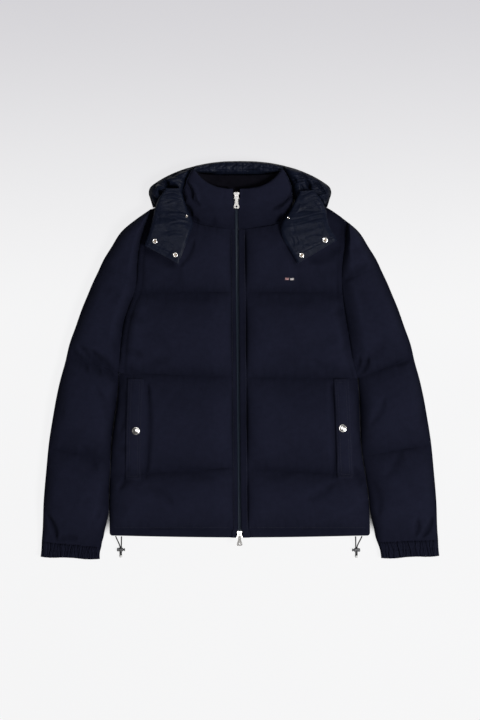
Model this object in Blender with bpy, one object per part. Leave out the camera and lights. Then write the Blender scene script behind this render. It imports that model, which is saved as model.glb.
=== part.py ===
"""Hooded, quilted down jacket with a stand collar, laid flat on its back with the zip closed.

Frame: X runs across the garment and its wearer's left is +X, Y runs up from hem to hood, Z up from
the surface that it lies on. Tables and sizes are in millimetres; meshes are made in metres.
Distances in the tables are measured outwards from the centre line, on either side of it.
"""

import math

import bmesh
import bpy
import numpy as np
from mathutils import Matrix, Vector
from mathutils.bvhtree import BVHTree

MM = 0.001
SIDES = (("right", -1), ("left", 1))

# Cloth and padding
GAP = 0.3               # between pieces at a seam
BACK_TOP = 20.0         # the back's plain inside face
FRONT_IN = 20.3         # the front's plain inside face, lying on the back's
FRONT_CROWN = 23.0      # padding of a front baffle at its fullest
FRONT_SEAM = 7.5        # thickness left at a quilting seam
ARMHOLE_SEAM = 8.0      # thickness at the armhole seam
RIM = 2.6               # thickness of a rounded edge at its seam
SIDE_ROUND = 30.0       # how far in from a side seam the padding is still rounding
HEM_ROUND = 9.0
NECK_SEAM = 8.6         # thickness of front and collar where they are sewn together

# Zip and placket
ZIP_NECK_X = -6.6       # the zip leans a little
ZIP_HEM_X = -0.8
NECK_Y = 272.0
HEM_Y = -370.6
PLACKET_EDGE = 3.4      # from the zip's middle to the folded front edge
TAPE_IN = 22.4          # underside of the zip tape, over the slider's lower plate
PLACKET_IN = 24.1       # the placket's inside face, over the zip tape
PLACKET_THICK = 4.4
PLACKET_STITCH = {"right": 13.0, "left": 17.5}
ZIP_REACH = 36.0        # from the placket's edge to the first full padding
SLIDER_SPREAD = 3.6     # how far a slider pushes each folded edge aside

# Quilting seams across the front: where each meets the placket and the welt or side
CHEST_Y = 142.0
WAIST_Y = -35.0
LOW_Y = -224.0
LOW_SIDE_Y = -241.0
HEM_STITCH_Y = -352.0
HEM_SIDE_Y = -366.5

# Collar
COLLAR_X = -4.5
COLLAR_THICK = 8.8
COLLAR_EDGE = 3.4

# Sleeves
SLEEVE_MID = 19.6       # height of a sleeve's folds and of the slit between its walls
CUFF_MID = 8.3
SLIT = 2.4
SLEEVE_CROWN = 23.0
CUFF_WALL = 7.0
CUFF_RIBS = 12
RIB_DEPTH = 2.0


def table(names, rows):
    """The columns of a table by name."""
    return {name: np.array(column, float) for name, column in zip(names.split(), zip(*rows))}


ARMHOLE = table("right_x right_y left_x left_y", [
    (185.0, 316.0, 226.5, 287.6),
    (196.0, 287.0, 222.0, 264.0),
    (205.0, 258.0, 219.0, 238.0),
    (211.5, 228.0, 215.0, 211.0),
    (214.5, 196.0, 213.2, 187.0),
    (215.5, 166.0, 213.0, 164.0),
    (219.5, 143.0, 214.0, 142.0),
    (230.0, 117.0, 217.0, 115.0),
    (240.5, 86.0, 222.0, 83.0),
    (247.0, 50.0, 228.0, 48.0),
    (250.5, 12.0, 235.0, 6.0),
    (252.5, -26.0, 246.0, -37.0),
])
ARM_QUILT = 5           # rows of the armhole table where seams meet it
ARM_CHEST = 6
ARM_UNDER = 11
STATIONS = (0, 0.5, 1.6, 3, 4.4, 5, 5.7, 6, 6.3, 7.3, 8.8, 10, 10.7, 11)

SIDE_SEAM = table("y right left", [
    (-372.0, 272.5, 272.0),
    (-325.0, 273.0, 271.0),
    (-293.0, 273.3, 269.2),
    (-251.0, 271.0, 265.0),
    (-209.0, 267.0, 260.0),
    (-167.0, 262.0, 256.0),
    (-126.0, 257.0, 252.8),
    (-84.0, 254.0, 250.0),
    (-26.0, 252.5, 245.0),
])
SHOULDER = {
    "right": table("x y", [(124.0, 329.0), (155.0, 325.6), (185.0, 316.0)]),
    "left": table("x y", [(115.0, 329.0), (150.0, 326.0), (182.0, 318.6), (205.0, 304.0), (226.5, 287.6)]),
}
FRONT_NECK = table("x y", [     # x from the collar's middle
    (0.0, 271.8), (39.0, 276.4), (72.0, 281.5), (97.0, 289.5), (113.0, 301.0), (119.5, 329.0),
])
BACK_LINE = table("x y", [      # the back's upper edge: shoulder, neck and shoulder
    (-185.0, 316.0), (-177.0, 319.2), (-160.0, 324.3), (-127.0, 328.5), (-122.0, 311.0), (-70.0, 310.4),
    (-4.5, 310.4), (66.0, 310.4), (113.0, 311.0), (118.0, 328.5), (152.0, 325.7), (182.0, 318.4),
    (205.0, 303.8), (226.5, 287.6),
])

# The sleeve's outer silhouette, and its inner fold below the underarm
SLEEVE_OUTER = table("y x", [
    (-413.0, 418.0), (-381.6, 415.8), (-356.4, 413.7), (-293.4, 410.6), (-230.4, 405.3),
    (-167.4, 399.0), (-117.0, 391.0), (-79.2, 384.3), (-41.4, 375.9), (-3.6, 365.4),
    (34.2, 356.5), (72.0, 343.0), (109.8, 329.7), (135.0, 319.2), (160.2, 308.7),
    (185.4, 296.8), (210.6, 285.0), (235.8, 269.5), (273.6, 243.6), (298.8, 212.0), (316.0, 187.0),
])
SLEEVE_INNER = table("y right left", [
    (-420.0, 294.0, 297.0), (-394.0, 291.0, 291.0), (-381.0, 289.0, 287.5), (-369.0, 285.6, 283.6),
    (-356.0, 283.2, 281.2), (-340.0, 279.0, 277.2), (-318.0, 274.5, 272.5), (-293.0, 274.3, 270.4),
    (-251.0, 272.0, 266.2), (-209.0, 268.0, 261.2), (-167.0, 263.0, 257.2), (-126.0, 258.0, 254.0),
    (-84.0, 255.0, 251.2), (-26.0, 253.5, 246.4),
])
SLEEVE_ROWS = {  # y where each sleeve seam meets the outer fold and the inner fold
    "right": table("outer inner", [(8.0, -26.0), (-183.0, -208.0), (-379.5, -391.5)]),
    "left": table("outer inner", [(8.0, -37.0), (-176.0, -200.0), (-375.5, -380.5)]),
}
SLEEVE_TIP_Y = {"right": 315.4, "left": 286.4}
CUFF_END = {"right": (-411.5, -416.8), "left": (-409.5, -415.0)}
BAFFLE = (0, 0.05, 0.16, 0.32, 0.5, 0.68, 0.84, 0.95)

# The collar's neck-side face: front edge, round the ear, to the middle of the back
COLLAR = table("base_x base_y base_z top_x top_y top_z bulge", [
    (3.4, 272.2, 24.2, 3.4, 357.6, 38.3, 0.0),
    (14.0, 273.2, 24.2, 13.0, 357.8, 38.3, 0.0),
    (34.0, 276.3, 23.2, 30.0, 359.5, 38.5, 1.0),
    (60.0, 280.1, 22.3, 49.0, 364.0, 39.0, 3.0),
    (84.0, 287.2, 22.3, 69.0, 374.5, 40.0, 6.0),
    (98.0, 300.0, 22.0, 83.0, 388.0, 41.0, 9.0),
    (103.5, 315.0, 21.8, 88.5, 395.5, 39.0, 10.5),
    (101.0, 324.5, 21.0, 86.0, 396.5, 36.0, 9.5),
    (88.0, 321.5, 18.6, 76.0, 396.3, 30.5, 5.0),
    (50.0, 314.5, 18.0, 40.0, 395.2, 28.3, 1.0),
    (0.0, 311.6, 18.0, 0.0, 394.6, 28.0, 0.0),
])
COLLAR_COLUMNS = (0, 1, 2, 3, 3.7, 4.4, 5, 5.4, 5.8, 6.2, 6.6, 7, 7.4, 8, 9, 10)
COLLAR_UP = (0, 0.08, 0.22, 0.4, 0.6, 0.8, 0.93, 1)

# Hood: outer silhouette of a side panel, and the edge along collar and shoulder
HOOD_OUTER = table("x y", [
    (92.0, 407.6), (119.7, 399.6), (149.1, 387.5), (172.2, 374.6), (187.5, 362.8),
    (191.2, 350.0), (187.5, 336.6), (182.6, 320.4),
])
HOOD_INNER = table("x y", [
    (95.5, 402.0), (104.0, 392.0), (115.0, 375.0), (121.5, 356.0), (125.0, 338.0),
    (141.0, 329.2), (161.0, 325.4), (180.4, 320.2),
])
HOOD_ARC = table("x y", [(0.0, 417.4), (37.8, 416.2), (71.4, 412.0), (91.0, 407.9)])
HOOD_SIDE_HIGH = 38.0
HOOD_ROLL_HIGH = 35.0
HOOD_MID = 13.0
HOOD_START_Y = 311.4    # the hood's seam, just behind the back's neck edge
HOOD_ROLL_Y = 398.0     # where the roll rises behind the collar
HOOD_LEFT_IN = 8.0      # the collar stands to the right, so the left side panel reaches further in
HOOD_CENTRE = table("up right left", [
    (0.0, 113.0, 108.0), (0.55, 113.0, 107.0), (0.66, 112.5, 104.5), (0.76, 108.5, 99.0), (0.835, 102.0, 93.2),
    (0.9, 97.0, 88.0), (0.95, 92.6, 86.6), (1.0, 90.5, 89.6),
])

# Hood corners: a row for each level, from beside the collar down to the buttoned edge
HOOD_FLAP = {
    "right": table("outer_x outer_y inner_x inner_y", [
        (154.0, 357.6, 124.5, 357.6), (167.0, 341.0, 117.5, 337.0), (177.0, 318.0, 108.5, 311.0),
        (182.0, 296.0, 98.5, 285.0), (188.0, 272.0, 107.5, 256.0), (194.0, 254.0, 118.0, 227.0),
        (199.5, 239.4, 127.5, 200.5),
    ]),
    "left": table("outer_x outer_y inner_x inner_y", [
        (153.0, 354.0, 125.0, 352.0), (166.0, 338.0, 114.0, 331.0), (178.0, 317.0, 102.5, 309.0),
        (181.5, 298.0, 87.0, 286.0), (184.5, 281.0, 86.5, 262.0), (193.0, 265.0, 102.0, 232.0),
        (202.2, 250.5, 120.5, 202.0),
    ]),
}
FLAP_THICK = 7.5

# Welts: a row for each level, top to bottom
WELT = {
    "right": table("outer_x inner_x y", [
        (234.5, 200.6, -37.5), (237.5, 203.5, -140.0), (239.5, 206.0, -251.0),
    ]),
    "left": table("outer_x inner_x y", [
        (229.0, 195.5, -37.5), (233.0, 199.0, -140.0), (237.5, 203.0, -247.0),
    ]),
}
WELT_THICK = 3.2
WELT_ROWS = 13

# Snaps: side, name, x, y, diameter, height
SNAPS = (
    ("right", "pocket", 216.5, -146.8, 16.6, 2.6),
    ("left", "pocket", 213.8, -141.5, 16.6, 2.6),
    ("right", "hood_outer", 177.0, 247.4, 11.4, 2.2),
    ("right", "hood_inner", 134.2, 219.0, 11.4, 2.2),
    ("left", "hood_outer", 177.0, 250.0, 12.4, 2.2),
    ("left", "hood_inner", 128.1, 218.4, 11.4, 2.2),
    ("right", "hood_neck", 111.0, 300.0, 6.2, 1.6),
    ("left", "hood_neck", 101.0, 296.0, 6.2, 1.6),
)

# Zip hardware
SLIDER_LONG = 13.6
SLIDER_HALF = 6.2
SLIDER_WAIST = 3.9
SLIDER_PLATE = 1.5
SLIDER_MOUTH_Y = {"top": 337.4, "bottom": -357.2}
PULL_LONG = 25.0
PULL_TILT = {"top": 0.0, "bottom": 5.0}    # degrees below level at rest

# Hem drawcord: cord exits, toggle, end bead
CORD_RADIUS = 1.1
CORD_Z = 17.5
CORD_EXIT = {"right": ((260.2, -368.2), (248.0, -368.9)), "left": ((241.9, -368.9), (255.2, -368.4))}
TOGGLE = {"right": (250.3, -397.2), "left": (244.2, -398.0)}
TOGGLE_RADIUS = 3.9
TOGGLE_LONG = 13.2
TOGGLE_SHIFT = 1.3      # the barrel's middle, outwards from the strands
TOGGLE_BORE = 3.6
TOGGLE_Z = 4.5
BUTTON_TRAVEL = 1.6
BUTTON_IN = 1.0         # the stem's reach into the barrel at rest
CORD_HOLE = (6.2, 3.2)
BEAD_LONG = 4.6


def smooth(at, xs, ys):
    """Reads a smooth curve through table points, with xs rising."""
    slope = np.gradient(ys, xs)
    at = np.clip(at, xs[0], xs[-1])
    row = np.clip(np.searchsorted(xs, at) - 1, 0, len(xs) - 2)
    step = xs[row + 1] - xs[row]
    t = (at - xs[row]) / step
    start = (2 * t**3 - 3 * t**2 + 1) * ys[row] + (t**3 - 2 * t**2 + t) * step * slope[row]
    return start + (3 * t**2 - 2 * t**3) * ys[row + 1] + (t**3 - t**2) * step * slope[row + 1]


def by_row(station, columns, names):
    """A smooth reading of table columns at a fractional row number."""
    rows = np.arange(len(columns[names[0]]), dtype=float)
    return [float(smooth(station, rows, columns[name])) for name in names]


def mix(a, b, t):
    return a + (b - a) * t


def ease(t):
    t = min(max(t, 0.0), 1.0)
    return t * t * (3 - 2 * t)


def rise(distance, radius):
    """A quarter-round: 0 at an edge, 1 once the distance reaches the radius."""
    t = min(max(distance / radius, 0.0), 1.0)
    return math.sqrt(1 - (1 - t) ** 2)


def puff(s):
    """The fullness of a baffle between two seams, 0 to 1 to 0."""
    return math.sin(math.pi * min(max(s, 0.0), 1.0)) ** 0.62


def zip_x(y):
    return mix(ZIP_HEM_X, ZIP_NECK_X, (y - HEM_Y) / (NECK_Y - HEM_Y))


def armhole(side, station):
    return by_row(station, ARMHOLE, (side + "_x", side + "_y"))


def side_seam(side, y):
    return float(smooth(y, SIDE_SEAM["y"], SIDE_SEAM[side]))


def shoulder_y(side, x):
    return float(smooth(x, SHOULDER[side]["x"], SHOULDER[side]["y"]))


def neck_point(side):
    return float(SHOULDER[side]["x"][0])


def spread(y):
    """How far the sliders push the folded front edges aside at this height."""
    at_top = ease((y - SLIDER_MOUTH_Y["top"] + 8) / 6)
    at_hem = ease((SLIDER_MOUTH_Y["bottom"] + 6 - y) / 8)
    return SLIDER_SPREAD * max(at_top, at_hem)


# ---------------------------------------------------------------- meshes

def material(name, colour, roughness, metallic=0.0):
    made = bpy.data.materials.get(name) or bpy.data.materials.new(name)
    made.use_nodes = True
    shader = made.node_tree.nodes["Principled BSDF"]
    shader.inputs["Base Color"].default_value = (*colour, 1)
    shader.inputs["Roughness"].default_value = roughness
    shader.inputs["Metallic"].default_value = metallic
    return made


def wool():
    return material("navy_wool", (0.010, 0.012, 0.024), 0.92)


def nylon():
    return material("navy_nylon", (0.014, 0.018, 0.032), 0.45)


def steel():
    return material("polished_metal", (0.80, 0.78, 0.76), 0.22, 1.0)


def finish(mesh, name, finish_material, origin=(0, 0, 0)):
    """An object from a bmesh in millimetres, with its origin at a point of the garment frame."""
    bmesh.ops.recalc_face_normals(mesh, faces=mesh.faces)
    bmesh.ops.translate(mesh, verts=mesh.verts, vec=-Vector(origin))
    bmesh.ops.scale(mesh, verts=mesh.verts, vec=(MM, MM, MM))
    data = bpy.data.meshes.new(name)
    mesh.to_mesh(data)
    mesh.free()
    data.shade_smooth()
    data.set_sharp_from_angle(angle=math.radians(50))
    data.materials.append(finish_material)
    made = bpy.data.objects.new(name, data)
    made.location = Vector(origin) * MM
    bpy.context.scene.collection.objects.link(made)
    return made


def wall(name, outer, inner, faces, finish_material):
    """A closed cloth wall: matching outer and inner points, with a rim along every free edge."""
    mesh = bmesh.new()
    points = [mesh.verts.new(p) for p in list(outer) + list(inner)]
    count = len(outer)
    edges = set()
    for face in faces:
        mesh.faces.new([points[i] for i in face])
        mesh.faces.new([points[i + count] for i in reversed(face)])
        edges.update(zip(face, face[1:] + face[:1]))
    for a, b in sorted(edges):
        if (b, a) not in edges:
            mesh.faces.new([points[b], points[a], points[a + count], points[b + count]])
    return finish(mesh, name, finish_material)


def grid(rows, columns, index=None):
    """Quads of a rows x columns grid; index says where each grid point is in the list of points."""
    index = index or (lambda i, j: i * columns + j)
    return [
        (index(i, j), index(i, j + 1), index(i + 1, j + 1), index(i + 1, j))
        for i in range(rows - 1)
        for j in range(columns - 1)
    ]


def turned(profile, centre, sides=16, normal=(0, 0, 1)):
    """A turned piece: (radius, height) points from the middle of its foot to the middle of its top."""
    mesh = bmesh.new()
    rings = []
    turns = [2 * math.pi * k / sides for k in range(sides)]
    for radius, height in profile:
        around = turns if radius else turns[:1]
        rings.append([mesh.verts.new((radius * math.cos(t), radius * math.sin(t), height)) for t in around])
    for low, high in zip(rings, rings[1:]):
        for k in range(sides):
            nxt = k + 1
            corners = [low[k % len(low)], low[nxt % len(low)], high[nxt % len(high)], high[k % len(high)]]
            mesh.faces.new(list(dict.fromkeys(corners)))
    turn = Vector((0, 0, 1)).rotation_difference(Vector(normal)).to_matrix().to_4x4()
    bmesh.ops.transform(mesh, matrix=Matrix.Translation(centre) @ turn, verts=mesh.verts)
    return mesh


def plate(outline, low, high):
    """A flat plate from an outline of (x, y) points."""
    mesh = bmesh.new()
    floor = [mesh.verts.new((x, y, low)) for x, y in outline]
    roof = [mesh.verts.new((x, y, high)) for x, y in outline]
    mesh.faces.new(floor[::-1])
    mesh.faces.new(roof)
    for k in range(len(outline)):
        nxt = (k + 1) % len(outline)
        mesh.faces.new([floor[k], floor[nxt], roof[nxt], roof[k]])
    return mesh


def box(x, y, z):
    return plate([(x[0], y[0]), (x[1], y[0]), (x[1], y[1]), (x[0], y[1])], *z)


def boolean(target, other, operation):
    """Joins or cuts with a helper object that stays out of the render."""
    other.hide_render = True
    other.display_type = "WIRE"
    step = target.modifiers.new(other.name, "BOOLEAN")
    step.operation = operation
    step.object = other
    return target


def top_of(objects):
    """A function giving the height of the highest of these objects at a place, or None beside them."""
    trees = []
    for each in objects:
        points = [(each.matrix_world @ v.co) / MM for v in each.data.vertices]
        trees.append(BVHTree.FromPolygons(points, [list(p.vertices) for p in each.data.polygons]))

    def height(x, y):
        found = [tree.ray_cast(Vector((x, y, 200)), Vector((0, 0, -1)))[0] for tree in trees]
        return max((hit.z for hit in found if hit), default=None)

    return height


def lie_on(height, x, y, reach, floor):
    """The lowest clear height over a support within a small reach around a place."""
    found = [floor]
    for k in range(12):
        dx, dy = math.cos(math.pi * k / 6), math.sin(math.pi * k / 6)
        found += [height(x + r * dx, y + r * dy) for r in (reach / 3, reach / 1.5, reach)]
    found.append(height(x, y))
    return max(z for z in found if z is not None) + GAP


# ---------------------------------------------------------------- front

def front_rows(side):
    """Rows of a front, shoulder to hem: edge, height at the zip, place in the baffle, share of the top line."""
    rows = []
    top_y, chest_y, under = [ARMHOLE[side + "_y"][row] for row in (0, ARM_CHEST, ARM_UNDER)]
    for station in STATIONS:
        x, y = armhole(side, station)
        if station <= ARM_CHEST:
            v = (top_y - y) / (top_y - chest_y)
            rows.append(dict(x=x, y=y, at_zip=mix(NECK_Y, CHEST_Y, v), s=v, baffle=0, top=(1 - v) ** 1.3))
        else:
            v = (chest_y - y) / (chest_y - under)
            rows.append(dict(x=x, y=y, at_zip=mix(CHEST_Y, WAIST_Y, v), s=v, baffle=1, top=0))
    stretches = (
        (2, under, LOW_SIDE_Y, WAIST_Y, LOW_Y, BAFFLE[1:] + (1,)),
        (3, LOW_SIDE_Y, HEM_STITCH_Y, LOW_Y, HEM_STITCH_Y, BAFFLE[1::2] + (0.97, 1)),
        (4, HEM_STITCH_Y, HEM_SIDE_Y, HEM_STITCH_Y, HEM_Y, (0.25, 0.7, 1)),
    )
    for baffle, side_from, side_to, zip_from, zip_to, steps in stretches:
        for s in steps:
            y, at_zip = mix(side_from, side_to, s), mix(zip_from, zip_to, s)
            rows.append(dict(x=side_seam(side, y), y=y, at_zip=at_zip, s=s, baffle=baffle, top=0))
    return rows


def front_columns(side):
    """Columns across a front: distances in from the side, shares of the middle, distances from the placket."""
    stitch = PLACKET_STITCH[side] - PLACKET_EDGE
    sign = dict(SIDES)[side]
    near = ARMHOLE[side + "_x"][0] - 30
    far = PLACKET_EDGE + sign * zip_x(NECK_Y) + ZIP_REACH
    at_neck = [(near - x - sign * COLLAR_X) / (near - far) for x in FRONT_NECK["x"][:1:-1]]
    middle = [at_neck[0] / 2] + at_neck
    return (
        [("side", d) for d in (0, 5, 14, 30)]
        + [("middle", f) for f in middle]
        + [("zip", d) for d in (ZIP_REACH, stitch + 5, stitch, stitch - 4, 0)]
    )


def front_thickness(row, side, from_side, from_zip, at_neck):
    """Height of the front's outer face over its inside face."""
    stitch = PLACKET_STITCH[side] - PLACKET_EDGE
    if from_zip < stitch - 0.5:
        edge = rise(from_zip + 0.6, 4.0)
        return mix(3.0, PLACKET_THICK, edge) + PLACKET_IN - FRONT_IN
    by_armhole = row["y"] > ARMHOLE[side + "_y"][ARM_UNDER] - 1
    rim = ARMHOLE_SEAM if by_armhole else RIM
    across = rise(from_side, SIDE_ROUND) * rise(from_zip - stitch, 30)
    seam = FRONT_SEAM * rise(from_side + 1, SIDE_ROUND) if not by_armhole else FRONT_SEAM
    if row["baffle"] == 0:
        start = NECK_SEAM if at_neck else RIM + 1
        at_shoulder = rise(row["s"], 0.28) * puff(mix(0.3, 1, row["s"]))
        fullness = puff(mix(0.06, 1, row["s"])) if at_neck else at_shoulder
        base = mix(start, seam, min(row["s"] * 3, 1))
    elif row["baffle"] == 4:
        drop = rise(1 - row["s"], 0.6)
        return mix(RIM, max(rim, seam * 0.95), drop)
    else:
        base, fullness = seam, puff(row["s"])
    crown = FRONT_CROWN * (0.82 if row["baffle"] == 3 else 1.0)
    base = mix(min(rim, base), base, rise(from_side, 12))
    return base + (crown - FRONT_SEAM) * fullness * across


def make_front(side, sign):
    rows, columns = front_rows(side), front_columns(side)
    neck_x = neck_point(side)
    outer, inner = [], []
    for row in rows:
        zip_edge = sign * zip_x(row["at_zip"]) + PLACKET_EDGE + spread(row["at_zip"])
        near, far = row["x"] - 30, zip_edge + ZIP_REACH
        for kind, value in columns:
            x = {"side": row["x"] - value, "middle": mix(near, far, value), "zip": zip_edge + value}[kind]
            share = (row["x"] - x) / (row["x"] - zip_edge)
            y = mix(row["y"], row["at_zip"], share)
            if row["top"]:
                first_x = mix(rows[0]["x"], PLACKET_EDGE + sign * zip_x(NECK_Y), share)
                line = mix(rows[0]["y"], NECK_Y, share)
                if first_x >= neck_x - 0.01:
                    top_y = shoulder_y(side, first_x)
                else:
                    top_y = float(np.interp(first_x - sign * COLLAR_X, FRONT_NECK["x"], FRONT_NECK["y"]))
                y += row["top"] * (top_y - line)
            from_zip = x - zip_edge
            thick = front_thickness(row, side, row["x"] - x, from_zip, x < neck_x - 4)
            lift = mix(PLACKET_IN, FRONT_IN, ease((from_zip - PLACKET_STITCH[side] + PLACKET_EDGE + 0.5) / 4))
            outer.append((sign * x, y, max(FRONT_IN + thick, lift + RIM)))
            inner.append((sign * x, y, lift))
    return wall("front_" + side, outer, inner, grid(len(rows), len(columns)), wool())


# ---------------------------------------------------------------- back

def back_edge(side):
    """Points down one edge of the back, shoulder to hem."""
    edge = [(*armhole(side, station), 8.0, 12.0) for station in STATIONS]
    for y in (-100, -180, -260, -335, -357, HEM_SIDE_Y):
        edge.append((side_seam(side, y), y, 17.0, SIDE_ROUND))
    return edge


def make_back():
    edges = {side: back_edge(side) for side, _ in SIDES}
    wide = BACK_LINE["x"][-1] - BACK_LINE["x"][0]
    shares = [(x - BACK_LINE["x"][0]) / wide for x in BACK_LINE["x"]]
    outer, inner = [], []
    count = len(edges["right"])
    chest_y = armhole("right", ARM_CHEST)[1]
    for i in range(count):
        (rx, ry, r_rim, r_round), (lx, ly, _, _) = edges["right"][i], edges["left"][i]
        weight = max(0, (ry - chest_y) / (edges["right"][0][1] - chest_y)) ** 1.3
        for j, share in enumerate(shares):
            x = mix(-rx, lx, share)
            y = mix(ry, ly, share)
            if weight:
                line = mix(edges["right"][0][1], edges["left"][0][1], share)
                y += weight * (BACK_LINE["y"][j] - line)
            if i == count - 1:
                y -= (HEM_SIDE_Y - HEM_Y) * math.sin(math.pi * share)
            inside = min(share, 1 - share) * (rx + lx)
            lift = r_rim * (1 - rise(inside, r_round))
            lift = max(lift, 14 * (1 - rise(y - HEM_Y, HEM_ROUND)))
            if i == 0:
                lift = max(lift, 4.0)
            outer.append((x, y, lift))
            inner.append((x, y, BACK_TOP))
    return wall("back", outer, inner, grid(count, len(shares)), wool())


# ---------------------------------------------------------------- sleeves and cuffs

def sleeve_rows(side):
    """Sections of a sleeve, shoulder to cuff: outer and inner point, place in the baffle, open or not."""
    rows = []
    seams = SLEEVE_ROWS[side]
    first = SLEEVE_TIP_Y[side]
    quilt_y = 198.0
    for station in STATIONS:
        x, y = armhole(side, station)
        if station <= ARM_QUILT:
            s = station / ARM_QUILT
            outer_y = mix(first, quilt_y, s)
        else:
            s = (station - ARM_QUILT) / (ARM_UNDER - ARM_QUILT)
            outer_y = mix(quilt_y, seams["outer"][0], s)
        outer_x = float(smooth(outer_y, SLEEVE_OUTER["y"], SLEEVE_OUTER["x"]))
        shift = 0.5 if station < ARM_UNDER else 1.0
        s = mix(0.25 if station <= ARM_QUILT else 0, 1, s)
        soft = 0.6 * math.exp(-(((station - ARM_QUILT) / 1.6) ** 2))
        rows.append(dict(
            outer=(outer_x, outer_y), inner=(x + shift, y), s=s, soft=soft, open=station < ARM_UNDER, down=0,
        ))
    for part in (0, 1):
        for s in BAFFLE[1:] + (1,):
            outer_y = mix(seams["outer"][part], seams["outer"][part + 1], s)
            inner_y = mix(seams["inner"][part], seams["inner"][part + 1], s)
            rows.append(dict(
                outer=(float(smooth(outer_y, SLEEVE_OUTER["y"], SLEEVE_OUTER["x"])), outer_y),
                inner=(float(smooth(inner_y, SLEEVE_INNER["y"], SLEEVE_INNER[side])), inner_y),
                s=s, soft=0, open=False, down=part + s,
            ))
    return rows


def tube_points(row, shares, side_of_slit, thick, mid, fold_in):
    """Outer and inner points across one wall of a flattened sleeve section."""
    (ox, oy), (ix, iy) = row["outer"], row["inner"]
    width = math.hypot(ox - ix, oy - iy)
    outer, inner = [], []
    for share in shares:
        x, y = mix(ox, ix, share), mix(oy, iy, share)
        from_inner = 1e3 if row["open"] else (1 - share) * width
        profile = rise(min(share * width, from_inner), fold_in)
        height = thick(share, profile)
        outer.append((x, y, mid + side_of_slit * height))
        start = min(7.0, width * 0.3) / width
        end = 0 if row["open"] else start
        inward = mix(start, 1 - end, share)
        at_fold = share == 0 or (share == 1 and not row["open"])
        height = mid if at_fold else mid + side_of_slit * SLIT / 2
        inner.append((mix(ox, ix, inward), mix(oy, iy, inward), height))
    return outer, inner


def make_sleeve(side, sign):
    rows = sleeve_rows(side)
    top_shares = (0, 0.04, 0.13, 0.32, 0.66, 0.87, 0.96, 1)
    low_shares = (0, 0.1, 0.9, 1)
    outer, inner, top_index, low_index = [], [], {}, {}
    for i, row in enumerate(rows):
        tail = ease((row["down"] - 1.55) / 0.45)
        mid = mix(SLEEVE_MID, CUFF_MID, tail)
        crown = mix(SLEEVE_CROWN, 20.0, ease(row["down"] / 2))
        seam = mix(7.0, CUFF_WALL + SLIT / 2 + 2.0, tail)
        round_in = mix(26, 14, tail)

        def top_height(share, profile):
            fullness = mix(puff(row["s"]), 1, row["soft"])
            full = seam + (crown - seam) * fullness * rise(share, 0.22) * rise(1 - share, 0.25)
            if row["open"] and share > 0.99:
                return ARMHOLE_SEAM - 0.6
            return RIM / 2 + (full - RIM / 2) * profile

        def low_height(share, profile):
            if row["open"] and share > 0.99:
                return mid - 8.0
            return RIM / 2 + (mid - RIM / 2) * profile

        top_outer, top_inner = tube_points(row, top_shares, 1, top_height, mid, round_in)
        low_outer, low_inner = tube_points(row, low_shares, -1, low_height, mid, 22)
        for j, pair in enumerate(zip(top_outer, top_inner)):
            top_index[i, j] = len(outer)
            outer.append(pair[0])
            inner.append(pair[1])
        last = len(low_shares) - 1
        for j, pair in enumerate(zip(low_outer, low_inner)):
            if j == 0:
                low_index[i, j] = top_index[i, 0]
            elif j == last and not row["open"]:
                low_index[i, j] = top_index[i, len(top_shares) - 1]
            else:
                low_index[i, j] = len(outer)
                outer.append(pair[0])
                inner.append(pair[1])
    faces = grid(len(rows), len(top_shares), lambda i, j: top_index[i, j])
    faces += [face[::-1] for face in grid(len(rows), len(low_shares), lambda i, j: low_index[i, j])]
    outer = [(sign * x, y, z) for x, y, z in outer]
    inner = [(sign * x, y, z) for x, y, z in inner]
    return wall("sleeve_" + side, outer, inner, faces, wool())


def make_cuff(side, sign):
    seams, ends = SLEEVE_ROWS[side], CUFF_END[side]
    start = (seams["outer"][2] - 0.4, seams["inner"][2] - 0.4)
    columns = 2 * CUFF_RIBS
    shares = [k / columns for k in range(columns + 1)]
    downs = (0, 0.3, 0.7, 1)
    outer, inner, top_index, low_index = [], [], {}, {}
    for i, down in enumerate(downs):
        outer_y, inner_y = mix(start[0], ends[0], down), mix(start[1], ends[1], down)
        outer_x = float(smooth(outer_y, SLEEVE_OUTER["y"], SLEEVE_OUTER["x"])) - 0.6 * math.sin(math.pi * down)
        inner_x = float(smooth(inner_y, SLEEVE_INNER["y"], SLEEVE_INNER[side])) + 1.5 * math.sin(math.pi * down)
        width = outer_x - inner_x
        for k, share in enumerate(shares):
            inward = mix(7 / width, 1 - 7 / width, share)
            x, y = mix(outer_x, inner_x, share), mix(outer_y, inner_y, share)
            y -= 1.4 * math.sin(CUFF_RIBS * 0.8 * share) * (down == 1)
            profile = rise(min(share, 1 - share) * width, 11)
            rib = RIB_DEPTH * (k % 2) * profile * mix(0.8, 1, down)
            top = mix(RIM / 2, CUFF_WALL + SLIT / 2 - 1 + rib, profile)
            top_index[i, k] = len(outer)
            outer.append((x, y, CUFF_MID + top))
            fold = k in (0, columns)
            at = (mix(outer_x, inner_x, inward), mix(outer_y, inner_y, inward))
            inner.append((*at, CUFF_MID + (0 if fold else SLIT / 2)))
            if fold:
                low_index[i, k // 3] = top_index[i, k]
            elif k % 3 == 0:
                low_index[i, k // 3] = len(outer)
                outer.append((x, y, CUFF_MID - mix(RIM / 2, CUFF_MID, profile)))
                inner.append((*at, CUFF_MID - SLIT / 2))
    faces = grid(len(downs), columns + 1, lambda i, j: top_index[i, j])
    faces += [face[::-1] for face in grid(len(downs), columns // 3 + 1, lambda i, j: low_index[i, j])]
    outer = [(sign * x, y, z) for x, y, z in outer]
    inner = [(sign * x, y, z) for x, y, z in inner]
    return wall("cuff_" + side, outer, inner, faces, wool())


# ---------------------------------------------------------------- collar and hood

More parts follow.
